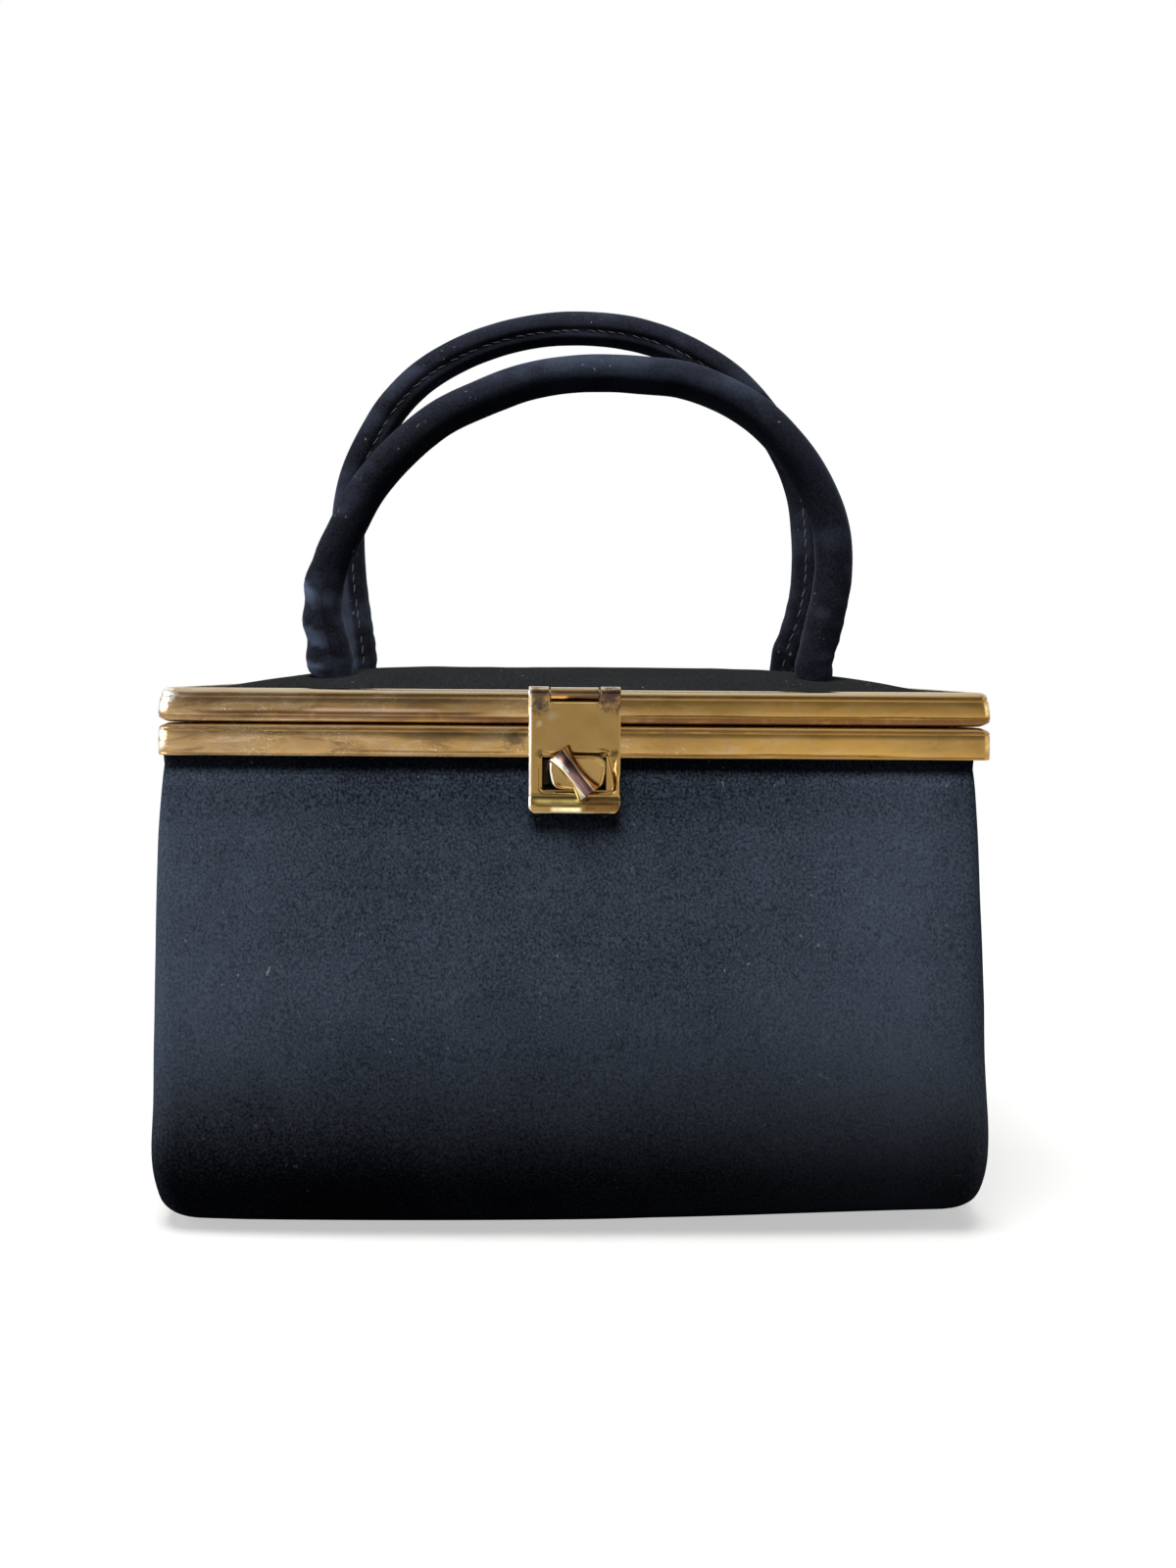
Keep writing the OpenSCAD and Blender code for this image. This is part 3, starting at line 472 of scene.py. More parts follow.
def plainMetalMaterial(name, light, dark, rough):
    material, s, place = newMaterial(name)
    spots = s.noise(place, 420, 4.0, 0.6)
    colour = s.between(spots.step(0.35, 0.7), light, dark)
    closeMetal(s, colour, spots * 0.2 + rough, s.bump(spots, 0.3, 0.00005))
    return material


def fibreMaterial(name, light, dark, scale):
    material, s, place = newMaterial(name)
    fibre = s.noise(place, scale, 4.0, 0.6, 0.5)
    colour = s.between(fibre.step(0.3, 0.7), dark, light)
    bump = s.bump(fibre, 0.4, 0.0001)
    closeMaterial(s, {"Base Color": colour, "Roughness": fibre * 0.15 + 0.75, "Normal": bump})
    return material


materials = {
    **{part + "Satin": satinMaterial(part + " satin", satinLooks[part])
       for part in ("case", "lid", "handle", "base")},
    "lining": liningMaterial(),
    "bar": platingMaterial("plated bar", platingLooks["bar"], barLines, barSmudges),
    "hasp": platingMaterial("plated hasp", platingLooks["hasp"], haspLines, haspSmudges),
    "lock": platingMaterial("plated lock", platingLooks["lock"]),
    "lockRimHighlight": platingMaterial("lock rim highlight", platingLooks["rim"]),
    "knob": knobMaterial(),
    "hinge": platingMaterial("plated hinge", platingLooks["hinge"]),
    "pin": plainMetalMaterial("pin metal", (170, 150, 110), (96, 80, 56), 0.3),
    "steel": plainMetalMaterial("inner steel", (150, 146, 140), (96, 92, 86), 0.35),
    "board": fibreMaterial("board", (166, 140, 104), (124, 100, 70), 900),
    "thread": fibreMaterial("thread", (100, 98, 104), (46, 44, 50), 2600),
}
print("materials made:", len(materials))


# Mesh helpers


def linked(name, bm, material, body, smoothAngle=50):
    bmesh.ops.recalc_face_normals(bm, faces=bm.faces)
    mesh = bpy.data.meshes.new(name)
    bm.to_mesh(mesh)
    bm.free()
    mesh.polygons.foreach_set("use_smooth", [True] * len(mesh.polygons))
    mesh.set_sharp_from_angle(angle=math.radians(smoothAngle))
    mesh.materials.append(materials[material])
    made = bpy.data.objects.new(name, mesh)
    bpy.context.scene.collection.objects.link(made)
    if body:
        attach(made, body)
    return made


def held(v):
    return min(1, max(0, v))


def smooth(low, high, v):
    t = held((v - low) / (high - low))
    return t * t * (3 - 2 * t)


# 1 at the middle, falling to nothing past the reach
def swell(off, reach, power=2):
    return math.exp(-(off / reach) ** power)


def placed(row, points):
    for vert, point in zip(row, points):
        vert.co = Vector(point) * mm


# One more ring from the last, by extruding its edges
def nextRing(bm, row, points):
    inRow = set(row)
    edges = [e for e in bm.edges if e.verts[0] in inRow and e.verts[1] in inRow]
    made = bmesh.ops.extrude_edge_only(bm, edges=edges)["geom"]
    fresh = {g for g in made if isinstance(g, bmesh.types.BMVert)}
    following = []
    for vert in row:
        following.append(next(e.other_vert(vert) for e in vert.link_edges if e.other_vert(vert) in fresh))
    placed(following, points)
    return following


# The thickness of cloth, inwards (-1), outwards (1) or both ways (0)
def thicken(made, thickness, way):
    cloth = made.modifiers.new("cloth", "SOLIDIFY")
    cloth.thickness = thickness * mm
    cloth.offset = way


# A skin through rings of equal count; looped joins the last ring to the first
def skin(rings, looped=False, capFirst=False, capLast=False):
    bm = bmesh.new()
    first = bmesh.ops.create_circle(bm, segments=len(rings[0]), radius=1)["verts"]
    placed(first, rings[0])
    row = first
    for points in rings[1:]:
        row = nextRing(bm, row, points)
    if looped:
        row = nextRing(bm, row, rings[0])
        bmesh.ops.remove_doubles(bm, verts=first + row, dist=1e-7)
    for wanted, ring in ((capFirst, first), (capLast, row)):
        if wanted:
            bmesh.ops.contextual_create(bm, geom=ring)
    return bm


# A skin closed by a flat floor inside its first ring
def flooredSkin(rings, z):
    inner = [[(x * share, y * share, z) for x, y, h in rings[0]] for share in (0.3, 0.7)]
    return skin(inner + rings, capFirst=True)


# x and y with the corners of a rectangle pulled round
def pulledRound(x, y, halfW, halfD, corner):
    over = Vector((max(0, abs(x) - (halfW - corner)), max(0, abs(y) - (halfD - corner))))
    if over.x > 0 and over.y > 0 and over.length > corner:
        over = over.normalized() * corner
        x = math.copysign(halfW - corner + over.x, x)
        y = math.copysign(halfD - corner + over.y, y)
    return x, y


# A level cloth with round corners, at the height that a function gives for x and y
def levelCloth(p, height):
    bm = bmesh.new()
    bmesh.ops.create_grid(bm, x_segments=p["across"], y_segments=p["along"], size=1)
    for vert in bm.verts:
        x, y = vert.co.x * p["halfW"], vert.co.y * p["halfD"]
        x, y = pulledRound(x, y, p["halfW"], p["halfD"], p["corner"])
        vert.co = Vector((x, y, height(x, y))) * mm
    return bm


ringCounts = {"long": 84, "short": 34, "corner": 9}


# Rounded rectangle with bowed sides, anticlockwise from the right side
def roundedRing(halfW, halfD, corner, z, bowW=0.0, bowD=0.0):
    cx = halfW - bowW - corner
    cy = halfD - bowD - corner
    points = []
    for quarter in range(4):
        sx = 1 if quarter in (0, 3) else -1
        sy = 1 if quarter < 2 else -1
        for i in range(ringCounts["corner"] + 1):
            a = math.radians(90 * quarter + 90 * i / ringCounts["corner"])
            points.append((sx * cx + corner * math.cos(a), sy * cy + corner * math.sin(a), z))
        lengthwise = quarter in (0, 2)
        steps = ringCounts["long"] if lengthwise else ringCounts["short"]
        for i in range(1, steps):
            t = 1 - 2 * i / steps
            if lengthwise:
                points.append((sx * cx * t, sy * (halfD - bowD * t * t), z))
            else:
                points.append((sx * (halfW - bowW * t * t), sy * cy * t, z))
    return points


# Case

case = {
    "neckHalfW": 109, "neckHalfD": 44, "neckCorner": 3.2,
    "bellyHalfW": 112, "bellyHalfD": 50, "bellyCorner": 9,
    "sideBow": 1.5, "frontBow": 3,
    "neckZ": 130.2, "bellyZ": 45, "floorZ": 1.6, "topZ": 137.2,
    "frontRoll": 30, "frontRollHigh": 70, "sideRoll": 5.2, "sideRollHigh": 7,
    "rollStep": 3, "levels": 22,  # degrees, and rings from the roll up to the neck
    "neckTuck": 1.6, "neckTuckHigh": 4.6,  # the cloth goes in under the frame
    "endBulge": 3.4, "endBulgeZ": 17, "endBulgeReach": 24,
    "wobble": 0.35, "wobbleLength": 60, "wobbleTop": 30, "wobbleFoot": 25,
    # the left of the front's bottom hangs lower and further forward
    "sag": 1.45, "rightLift": 2.4, "liftAcross": 105, "sagHigh": 12, "frontDeep": 18,
    "leftPush": 6.4, "pushHigh": 70, "pushLeast": 0.25, "pushFrom": 60, "pushAcross": 150,
    # the left side is a little fuller between these heights
    "leftFull": 1.15, "fullUp": (25, 60), "fullDown": (105, 130),
    # how far the right side is tucked in under the frame
    "tuck": 3.0, "tuckLow": 10, "endFrom": 60, "endAcross": 49,
    "cloth": 0.6,
}


def neckToBelly(what, share):
    return case["neck" + what] + (case["belly" + what] - case["neck" + what]) * share


def flare(z):
    p = case
    return math.sin(math.pi / 2 * held((p["neckZ"] - z) / (p["neckZ"] - p["bellyZ"]))) ** 1.5


def rollIn(z, off, roll, high):
    top = case["floorZ"] + high
    if z >= top:
        return 0.0
    return (roll - off) * (1 - math.sqrt(max(0, 1 - ((top - z) / (high - off)) ** 2)))


def caseRing(z, off=0.0):
    p = case
    f = flare(z)
    halfW = neckToBelly("HalfW", f) - off - rollIn(z, off, p["sideRoll"], p["sideRollHigh"])
    halfW += p["endBulge"] * swell(z - p["endBulgeZ"], p["endBulgeReach"])
    halfD = neckToBelly("HalfD", f) - off - rollIn(z, off, p["frontRoll"], p["frontRollHigh"])
    if off == 0 and z < p["neckZ"]:
        halfD -= p["neckTuck"] * swell(p["neckZ"] - z, p["neckTuckHigh"])
    corner = max(neckToBelly("Corner", f) - off, 1.5)
    return roundedRing(halfW, halfD, corner, z, p["sideBow"] * f, p["frontBow"] * f)


def caseLevels(off):
    p = case
    roll = p["frontRollHigh"]
    start = p["floorZ"] + roll
    levels = [start - (roll - off) * math.cos(math.radians(a)) for a in range(0, 91, p["rollStep"])]
    levels += [start + (p["neckZ"] - start) * (i + 1) / p["levels"] for i in range(p["levels"])]
    return levels + [p["topZ"]]


# Soft unevenness of cloth over board, in millimetres
def wobble(point, length, seed):
    return noise.fractal(Vector(point) / length + Vector((seed, seed * 2, seed * 3)), 0.6, 2.0, 3)


def shapedCase(points, z):
    p = case
    fade = held((p["neckZ"] - z) / p["wobbleTop"]) * held((z - p["floorZ"]) / p["wobbleFoot"])
    high = held((z - p["tuckLow"]) / (p["neckZ"] - p["tuckLow"]))
    shaped = []
    for x, y, h in points:
        out = Vector((x / p["bellyHalfW"], y / p["bellyHalfD"], 0))
        out = out.normalized() if out.length else out
        push = p["wobble"] * fade * wobble((x, y, h), p["wobbleLength"], 4.1)
        right, left = (held((end * x - p["endFrom"]) / p["endAcross"]) for end in (1, -1))
        tuck = p["tuck"] * right ** 2 * high ** 2.2
        full = p["leftFull"] * smooth(*p["fullUp"], h) * (1 - smooth(*p["fullDown"], h)) * left
        # only the front half of the bottom, most towards the left
        front = held(-y / p["frontDeep"])
        leftward = max(p["pushLeast"], min(1, (p["pushFrom"] - x) / p["pushAcross"]))
        forward = p["leftPush"] * leftward * max(0, 1 - h / p["pushHigh"]) ** 1.5 * front
        sag = p["sag"] - p["rightLift"] * smooth(0, p["liftAcross"], x)
        sag *= max(0, 1 - h / p["sagHigh"]) * front
        shaped.append((x + out.x * push - tuck - full, y + out.y * push - forward, max(0.05, h - sag)))
    return shaped


def buildCase():
    rings = [shapedCase(caseRing(z), z) for z in caseLevels(0)]
    made = linked("case_satin", flooredSkin(rings, case["floorZ"]), "caseSatin", "case")
    thicken(made, case["cloth"], -1)
    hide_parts("body_cover", "body_board")


lining = {"off": 4.4, "slack": 0.35, "slackLength": 28, "slackTop": 20, "slackScale": 60, "cloth": 0.5}


def buildLining():
    p = lining
    rings = []
    for z in caseLevels(p["off"]):
        ring = []
        for x, y, h in caseRing(z, p["off"]):
            fade = min(1, (case["topZ"] - h) / p["slackTop"])
            slack = p["slack"] * wobble((x, y, h), p["slackLength"], 9.3) * fade
            scale = 1 - abs(slack) / p["slackScale"]
            ring.append((x * scale, y * scale, h))
        rings.append(ring)
    made = linked("case_lining", flooredSkin(rings, rings[0][0][2]), "lining", "case")
    thicken(made, p["cloth"], 1)
    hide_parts("body_lining")


buildCase()
buildLining()
print("case made")


# Slip pocket on the back wall of the lining

pocket = {
    "halfW": 65, "low": 38, "high": 108, "off": 4.95, "cloth": 0.4,
    "slack": 1.6, "ripple": 0.4, "rippleLength": 9,
    # out and up at each fold of the hem, which turns out and down over the mouth
    "hem": ((-0.28, 0.28), (-0.72, -0.08), (-0.8, -3.2)),
}


def backWall(x, z, off):
    p = case
    f = flare(z)
    halfD = neckToBelly("HalfD", f) - off
    halfD -= rollIn(z, off, p["frontRoll"], p["frontRollHigh"])
    reach = p["bellyHalfW"] - p["bellyCorner"] - p["sideBow"]
    return halfD - p["frontBow"] * f * (x / reach) ** 2


def buildPocket():
    p = pocket
    bm = bmesh.new()
    bmesh.ops.create_grid(bm, x_segments=40, y_segments=24, size=1)
    for vert in bm.verts:
        x = vert.co.x * p["halfW"]
        up = (vert.co.y + 1) / 2
        z = p["low"] + (p["high"] - p["low"]) * up
        side = 1 - abs(vert.co.x) ** 6
        gape = p["slack"] * up ** 3 * side * (1 + p["ripple"] * math.sin(x / p["rippleLength"]))
        vert.co = Vector((x, backWall(x, z, p["off"]) - gape, z)) * mm
    top = [e for e in bm.edges if e.is_boundary and all(v.co.z > (p["high"] - 0.1) * mm for v in e.verts)]
    for out, lift in p["hem"]:
        made = bmesh.ops.extrude_edge_only(bm, edges=top)["geom"]
        fresh = {g for g in made if isinstance(g, bmesh.types.BMVert)}
        bmesh.ops.translate(bm, vec=Vector((0, out, lift)) * mm, verts=list(fresh))
        top = [g for g in made if isinstance(g, bmesh.types.BMEdge) and fresh.issuperset(g.verts)]
    made = linked("slip_pocket", bm, "lining", "case")
    thicken(made, p["cloth"], 0)
    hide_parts("lining_pocket")


buildPocket()
print("pocket made")


# Lid

lid = {
    "halfW": 109, "halfD": 44, "corner": 5.0, "rim": 147.0, "crown": 6.9,
    "domeHalfW": 101.5, "domeHalfD": 41.7, "powerW": 4.3, "powerD": 2.6,
    "across": 190, "along": 78, "cloth": 0.6,
    "edgeW": 10, "edgeD": 6, "softness": 0.25, "softLength": 34,
    "pucker": 0.08, "puckerReach": 9, "puckerPitch": 0.9, "puckerSway": 2, "swayPitch": 0.13,
    # the cloth dips where a handle goes in, with small creases round it
    "feet": ((-67.7, -20), (67.7, -20), (-66.9, 20), (66.9, 20)),
    "footDip": 0.9, "footReach": 9.5, "crease": 0.22, "creases": 7,
    "dipWidth": 0.8, "creaseAt": 1.05, "creaseWidth": 0.25, "dipEnd": 1.6,  # in shares of that reach
}


def domeHeight(x, y):
    p = lid
    return p["crown"] * (1 - min(1, abs(x) / p["domeHalfW"]) ** p["powerW"]) * (
        1 - min(1, abs(y) / p["domeHalfD"]) ** p["powerD"])


def lidHeight(x, y):
    p = lid
    inX, inY = p["domeHalfW"] - abs(x), p["domeHalfD"] - abs(y)
    z = p["rim"] + domeHeight(x, y)
    edge = held(min(inX / p["edgeW"], inY / p["edgeD"]))
    z += p["softness"] * edge * wobble((x, y, 0), p["softLength"], 2.7)
    if inX > 0 and inY > 0:
        near = max(0, 1 - min(inX, inY) / p["puckerReach"])
        sway = p["puckerSway"] * math.sin(x * p["swayPitch"])
        z += p["pucker"] * near * edge * math.sin(x * p["puckerPitch"] + sway)
    for footX, footY in p["feet"]:
        away = math.hypot(x - footX, y - footY) / p["footReach"]
        if away < p["dipEnd"]:
            z -= p["footDip"] * swell(away, p["dipWidth"], 4)
            creased = math.sin(p["creases"] * math.atan2(y - footY, x - footX))
            z += p["crease"] * swell(away - p["creaseAt"], p["creaseWidth"]) * creased
    return z


def buildLid():
    made = linked("lid_satin", levelCloth(lid, lidHeight), "lidSatin", "lid")
    thicken(made, lid["cloth"], -1)
    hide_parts("lid_cover", "lid_padding")


lidLining = {
    "halfW": 108.4, "halfD": 43.4, "corner": 3.0, "z": 140.15, "across": 110, "along": 46,
    "edge": 8, "slack": 0.25, "slackLength": 22, "cloth": 0.4,
}


def lidLiningHeight(x, y):
    p = lidLining
    edge = held(min(p["halfW"] - abs(x), p["halfD"] - abs(y)) / p["edge"])
    return p["z"] - p["slack"] * edge * (1 + wobble((x, y, 0), p["slackLength"], 6.2))


def buildLidLining():
    made = linked("lid_lining_cloth", levelCloth(lidLining, lidLiningHeight), "lining", "lid")
    thicken(made, lidLining["cloth"], 1)
    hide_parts("lid_lining")


buildLid()
buildLidLining()
print("lid made")


# Frame bars: a section of (inset from the outer face, height), run round the frame

bars = {
    "halfW": 110, "halfD": 45, "corner": 3.2, "cornerTop": 0.6, "sheet": 0.9, "bead": 1.45,
    "endGroove": 1.5, "grooveZ": 138.85, "grooveReach": 0.9,  # the groove is deeper at both ends
    "lowerLow": 130.2, "lowerTop": 138.7, "upperLow": 139.0, "upperTop": 148.0,
    "lip": 3.2, "channel": 6.4, "wave": 0.07, "waveLength": 34,
}


def arcPoints(inset, z, radius, fromAngle, toAngle, steps=8):
    points = []
    for i in range(steps + 1):
        a = math.radians(fromAngle + (toAngle - fromAngle) * i / steps)
        points.append((inset - radius * math.cos(a), z + radius * math.sin(a)))
    return points


def upperSection():
    p = bars
    low, top, r, t = p["upperLow"], p["upperTop"], p["bead"], p["sheet"]
    return (
        [(p["lip"], low)] + arcPoints(r, low + r, r, -90, 0)
        + [(0.0, low + r + 0.12), (0.13, low + r + 0.27), (0.0, low + r + 0.45)]
        + [(-0.05, low + 2.4), (0.0, low + 3.8), (0.12, low + 5.1), (0.26, top - 2.75)]
        + [(0.34, top - 2.45), (0.52, top - 2.2), (0.6, top - 1.95), (0.57, top - 1.65)]
        + [(0.66, top - 1.2), (0.95, top - 0.7), (1.45, top - 0.3), (2.1, top - 0.08), (2.8, top)]
        + [(3.05, top - 0.05), (p["lip"], top - 0.2), (p["lip"], top - t)]
        + [(1.9, top - t), (1.5, top - t - 0.6), (1.5, top - 3.0)]
        + [(t, top - 3.4), (t, low + r)] + arcPoints(r, low + r, r - t, 0, -90)
        + [(p["lip"], low + t)])


def lowerSection():
    p = bars
    low, top, r, t, deep = p["lowerLow"], p["lowerTop"], p["bead"], p["sheet"], p["channel"]
    return (
        [(t, low + 0.1), (0.6, low), (0.25, low + 0.02), (0.04, low + 0.25), (0.0, low + 0.5)]
        + [(0.09, low + 0.72), (0.0, low + 0.98), (-0.03, low + 2.2), (-0.05, low + 3.6), (-0.03, low + 5.0)]
        + [(0.0, top - r - 0.75), (0.13, top - r - 0.45), (0.0, top - r - 0.2)]
        + arcPoints(r, top - r, r, 0, 90)
        + [(3.5, top), (deep - 0.5, top), (deep - 0.1, top - 0.12), (deep, top - 0.5), (deep, low + 1.2)]
        + [(deep - t, low + 1.2), (deep - t, top - t)] + arcPoints(r, top - r, r - t, 90, 0))


def barSkin(section, seed):
    p = bars
    rings = []
    for inset, z in section:
        corner = max(p["corner"] + p["cornerTop"] * smooth(142, 147, z) - inset, 0.6)
        narrow = p["endGroove"] * swell(z - p["grooveZ"], p["grooveReach"])
        rings.append(roundedRing(p["halfW"] - inset - narrow, p["halfD"] - inset, corner, z))
    bm = skin(rings, looped=True)
    bmesh.ops.recalc_face_normals(bm, faces=bm.faces)
    bm.normal_update()
    shifts = [p["wave"] * mm * wobble(v.co / mm, p["waveLength"], seed) for v in bm.verts]
    for vert, shift in zip(bm.verts, shifts):
        vert.co += Vector((vert.normal.x, vert.normal.y, 0.4 * vert.normal.z)) * shift
    return bm


def buildBar(name, section, seed, body, node):
    made = linked(name, barSkin(section, seed), "bar", body, 32)
    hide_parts(node)


buildBar("lid_bar", upperSection(), 1.7, "lid", "upper_frame")
buildBar("case_bar", lowerSection(), 5.2, "case", "lower_frame")
print("bars made")


# Handles

# Slanting folds over the front handle's left foot, and the bulge that they lie on
folds = {
    "from": 7.0, "pitch": 10.6, "slant": 1.6, "turn": 2.3, "napTurn": 3.67,
    "depth": 0.6, "faces": 45, "middle": 20, "reach": 16, "end": 52, "spread": 0.8,
    "bulgeFaces": 80, "bulge": 0.5, "bulgeAt": 26, "bulgeReach": 12,
    "step": 2.4, "stepUp": (0.5, 6), "stepDown": (8, 22),
}
# Softer ones over its right foot
rightFolds = {"depth": 0.35, "faces": -60, "pitch": 0.42, "middle": 14, "reach": 12, "end": 40}
# Where painted light and sheen lie on the handles: painted light at the top of each arch, painted sheen on
# the folds over the front's left foot, and painted light beside the seam of the rear's left leg; angles in
# degrees, then distances from the left end
handlePaintedSheen = {
    "top": 0.09, "topNarrow": 6, "rearTop": 0.5,
    "fold": 0.8, "foldFrom": (-12, 35), "foldTo": (85, 125), "foldStart": (0, 3), "foldEnd": (27, 33),
    "crest": (-0.2, 1),
    "inner": 0.2, "innerFrom": (-10, 10), "innerTo": (60, 110), "innerEnd": (40, 75),
}
handles = {
    "thick": 10.4, "flexZ": 156.5, "footZ": 147.4, "sides": 32, "step": 1.6,
    "seamDepth": 0.62, "seamWidth": 15, "lap": 0.28, "lapAside": 26, "lapWidth": 16,  # widths in degrees
    "softness": 0.16, "softLength": 26, "softRound": 0.8, "softRear": 7,
    "pucker": 0.2, "puckerReach": 24, "puckerPitch": 1.05, "puckerSway": 2.2, "swayPitch": 0.12,
    "pinch": 0.08, "pinchAt": 2.2, "pinchReach": 2.6,  # where the tube goes into the lid
    "stitchLength": 3.2, "stitchPitch": 3.7, "stitchThick": 0.34, "stitchSlant": 0.16,
    "bendFrom": 151.5, "bendTo": 161.5,
    "front": {
        "y": -20, "half": 67.7, "rise": 80.4, "seam": 208,
        "route": (
            (-1, 0), (-1.04, 0.12), (-1.045, 0.225), (-1.015, 0.33), (-0.945, 0.46), (-0.865, 0.59),
            (-0.74, 0.715), (-0.57, 0.835), (-0.4, 0.907), (-0.225, 0.964), (-0.04, 0.995), (0.143, 1),
            (0.306, 0.992), (0.447, 0.98), (0.608, 0.932), (0.756, 0.858), (0.876, 0.76), (0.99, 0.626),
            (1.062, 0.475), (1.078, 0.322), (1.058, 0.2), (1.03, 0.09), (1, 0)),
    },
    "rear": {
        "y": 20, "half": 66.9, "rise": 103.5, "seam": -22,
        "route": (
            (-1, 0), (-1.022, 0.104), (-1.044, 0.208), (-1.057, 0.32), (-1.056, 0.432), (-1.022, 0.546),
            (-0.945, 0.659), (-0.85, 0.76), (-0.715, 0.85), (-0.53, 0.923), (-0.345, 0.968),
            (-0.16, 0.993), (0.023, 1), (0.206, 0.992), (0.386, 0.964), (0.563, 0.913), (0.739, 0.837),
            (0.882, 0.737), (0.996, 0.626), (1.07, 0.497), (1.096, 0.357), (1.092, 0.218),
            (1.053, 0.1), (1, 0)),
    },
}


# Even stations along a smooth line through the route: place, direction, distance from the start
def stationsAlong(kind):
    p, h = handles, handles[kind]
    points = [Vector((x * h["half"], h["y"], p["flexZ"] + z * h["rise"])) for x, z in h["route"]]
    first, last = (Vector((points[end].x, h["y"], p["footZ"])) for end in (0, -1))
    points = [first] + points + [last]
    dense = []
    for i in range(len(points) - 1):
        a = points[max(i - 1, 0)]
        b, c = points[i], points[i + 1]
        d = points[min(i + 2, len(points) - 1)]
        for k in range(12):
            t = k / 12
            dense.append(0.5 * (2 * b + (c - a) * t + (2 * a - 5 * b + 4 * c - d) * t * t
                                + (3 * b - a - 3 * c + d) * t ** 3))
    dense.append(points[-1])
    for sweep in range(6):  # irons out the small kinks
        dense = [dense[0]] + [(dense[i - 1] + dense[i] * 2 + dense[i + 1]) / 4
                              for i in range(1, len(dense) - 1)] + [dense[-1]]
    lengths = [0.0]
    for a, b in zip(dense, dense[1:]):
        lengths.append(lengths[-1] + (b - a).length)
    count = round(lengths[-1] / p["step"])
    stations, k = [], 0
    for i in range(count + 1):
        want = lengths[-1] * i / count
        while k < len(dense) - 2 and lengths[k + 1] < want:
            k += 1
        share = (want - lengths[k]) / (lengths[k + 1] - lengths[k])
        stations.append([dense[k].lerp(dense[k + 1], min(1, share)), want])
    made = []
    for i, (place, want) in enumerate(stations):
        before, after = stations[max(i - 1, 0)][0], stations[min(i + 1, count)][0]
        made.append((place, (after - before).normalized(), want))
    return made


# Angles run from the front (0) over the outer side of the arch (90) to the back (180)
def tubePoint(place, along, angle, radius):
    a = math.radians(angle)
    outward = Vector((-along.z, 0, along.x))
    return place + (Vector((0, -1, 0)) * math.cos(a) + outward * math.sin(a)) * radius


def angleGap(a, b):
    return (a - b + 180) % 360 - 180


def foldWave(angle, distance, turn):
    p = folds
    slant = math.radians(angle) * p["slant"]
    return math.sin(2 * math.pi * (distance - p["from"]) / p["pitch"] - slant + turn)


def facing(angle, wanted, power=1.0):
    return max(0, math.cos(math.radians(angleGap(angle, wanted)))) ** power


def tubeRadius(kind, angle, distance, total):
    p = handles
    rear = kind == "rear"
    a = math.radians(angle)
    gap = angleGap(angle, p[kind]["seam"])
    r = p["thick"] / 2 - p["seamDepth"] * swell(gap, p["seamWidth"])
    r += p["lap"] * swell(gap + (p["lapAside"] if rear else -p["lapAside"]), p["lapWidth"])
    spot = Vector((distance / p["softLength"], math.cos(a) * p["softRound"], math.sin(a) * p["softRound"]))
    if rear:
        spot.z += p["softRear"]
    r += p["softness"] * noise.fractal(spot, 0.6, 2.0, 3)
    end = min(distance, total - distance)
    sway = p["puckerSway"] * math.sin(a + distance * p["swayPitch"])
    r += p["pucker"] * swell(end, p["puckerReach"]) * math.sin(distance * p["puckerPitch"] + sway)
    r *= 1 - p["pinch"] * swell(end - p["pinchAt"], p["pinchReach"])
    f = folds
    if not rear and distance < f["end"]:
        fold = f["depth"] * foldWave(angle, distance, f["turn"]) * facing(angle, f["faces"], f["spread"])
        r += fold * swell(distance - f["middle"], f["reach"])
        bulge = f["bulge"] * swell(distance - f["bulgeAt"], f["bulgeReach"])
        bulge += f["step"] * smooth(*f["stepUp"], distance) * (1 - smooth(*f["stepDown"], distance))
        r += facing(angle, f["bulgeFaces"], f["spread"]) * bulge
    f = rightFolds
    left = total - distance
    if not rear and left < f["end"]:
        fold = f["depth"] * facing(angle, f["faces"]) * math.sin(left * f["pitch"])
        r += fold * swell(left - f["middle"], f["reach"])
    return r


# How much painted light and sheen a point of a handle's tube gets
def paintedSheenAt(kind, angle, distance, total):
    p = handlePaintedSheen
    top = p["top"] * math.sin(math.pi * distance / total) ** p["topNarrow"]
    if kind == "front":
        side = smooth(*p["foldFrom"], angleGap(angle, 0)) * (1 - smooth(*p["foldTo"], angle))
        fold = p["fold"] * smooth(*p["crest"], foldWave(angle, distance, folds["napTurn"])) * side
        return top + fold * (1 - smooth(*p["foldEnd"], distance)) * smooth(*p["foldStart"], distance)
    inner = smooth(*p["innerFrom"], angleGap(angle, 0)) * (1 - smooth(*p["innerTo"], angle))
    return top * p["rearTop"] + p["inner"] * inner * (1 - smooth(*p["innerEnd"], distance))


def buildTube(kind, stations):
    count = handles["sides"] * 2
    total = stations[-1][2]
    rings, paintedSheens = [], []
    for place, along, distance in stations:
        ring = []
        for angle in (360 * k / count for k in range(count)):
            ring.append(tubePoint(place, along, angle, tubeRadius(kind, angle, distance, total)))
            paintedSheens.append(paintedSheenAt(kind, angle, distance, total))
        rings.append(ring)
    bm = skin(rings, capFirst=True, capLast=True)
    layer = bm.verts.layers.float.new("nap")
    bm.verts.ensure_lookup_table()
    for vert, nap in zip(bm.verts, paintedSheens):
        vert[layer] = nap
    return bm


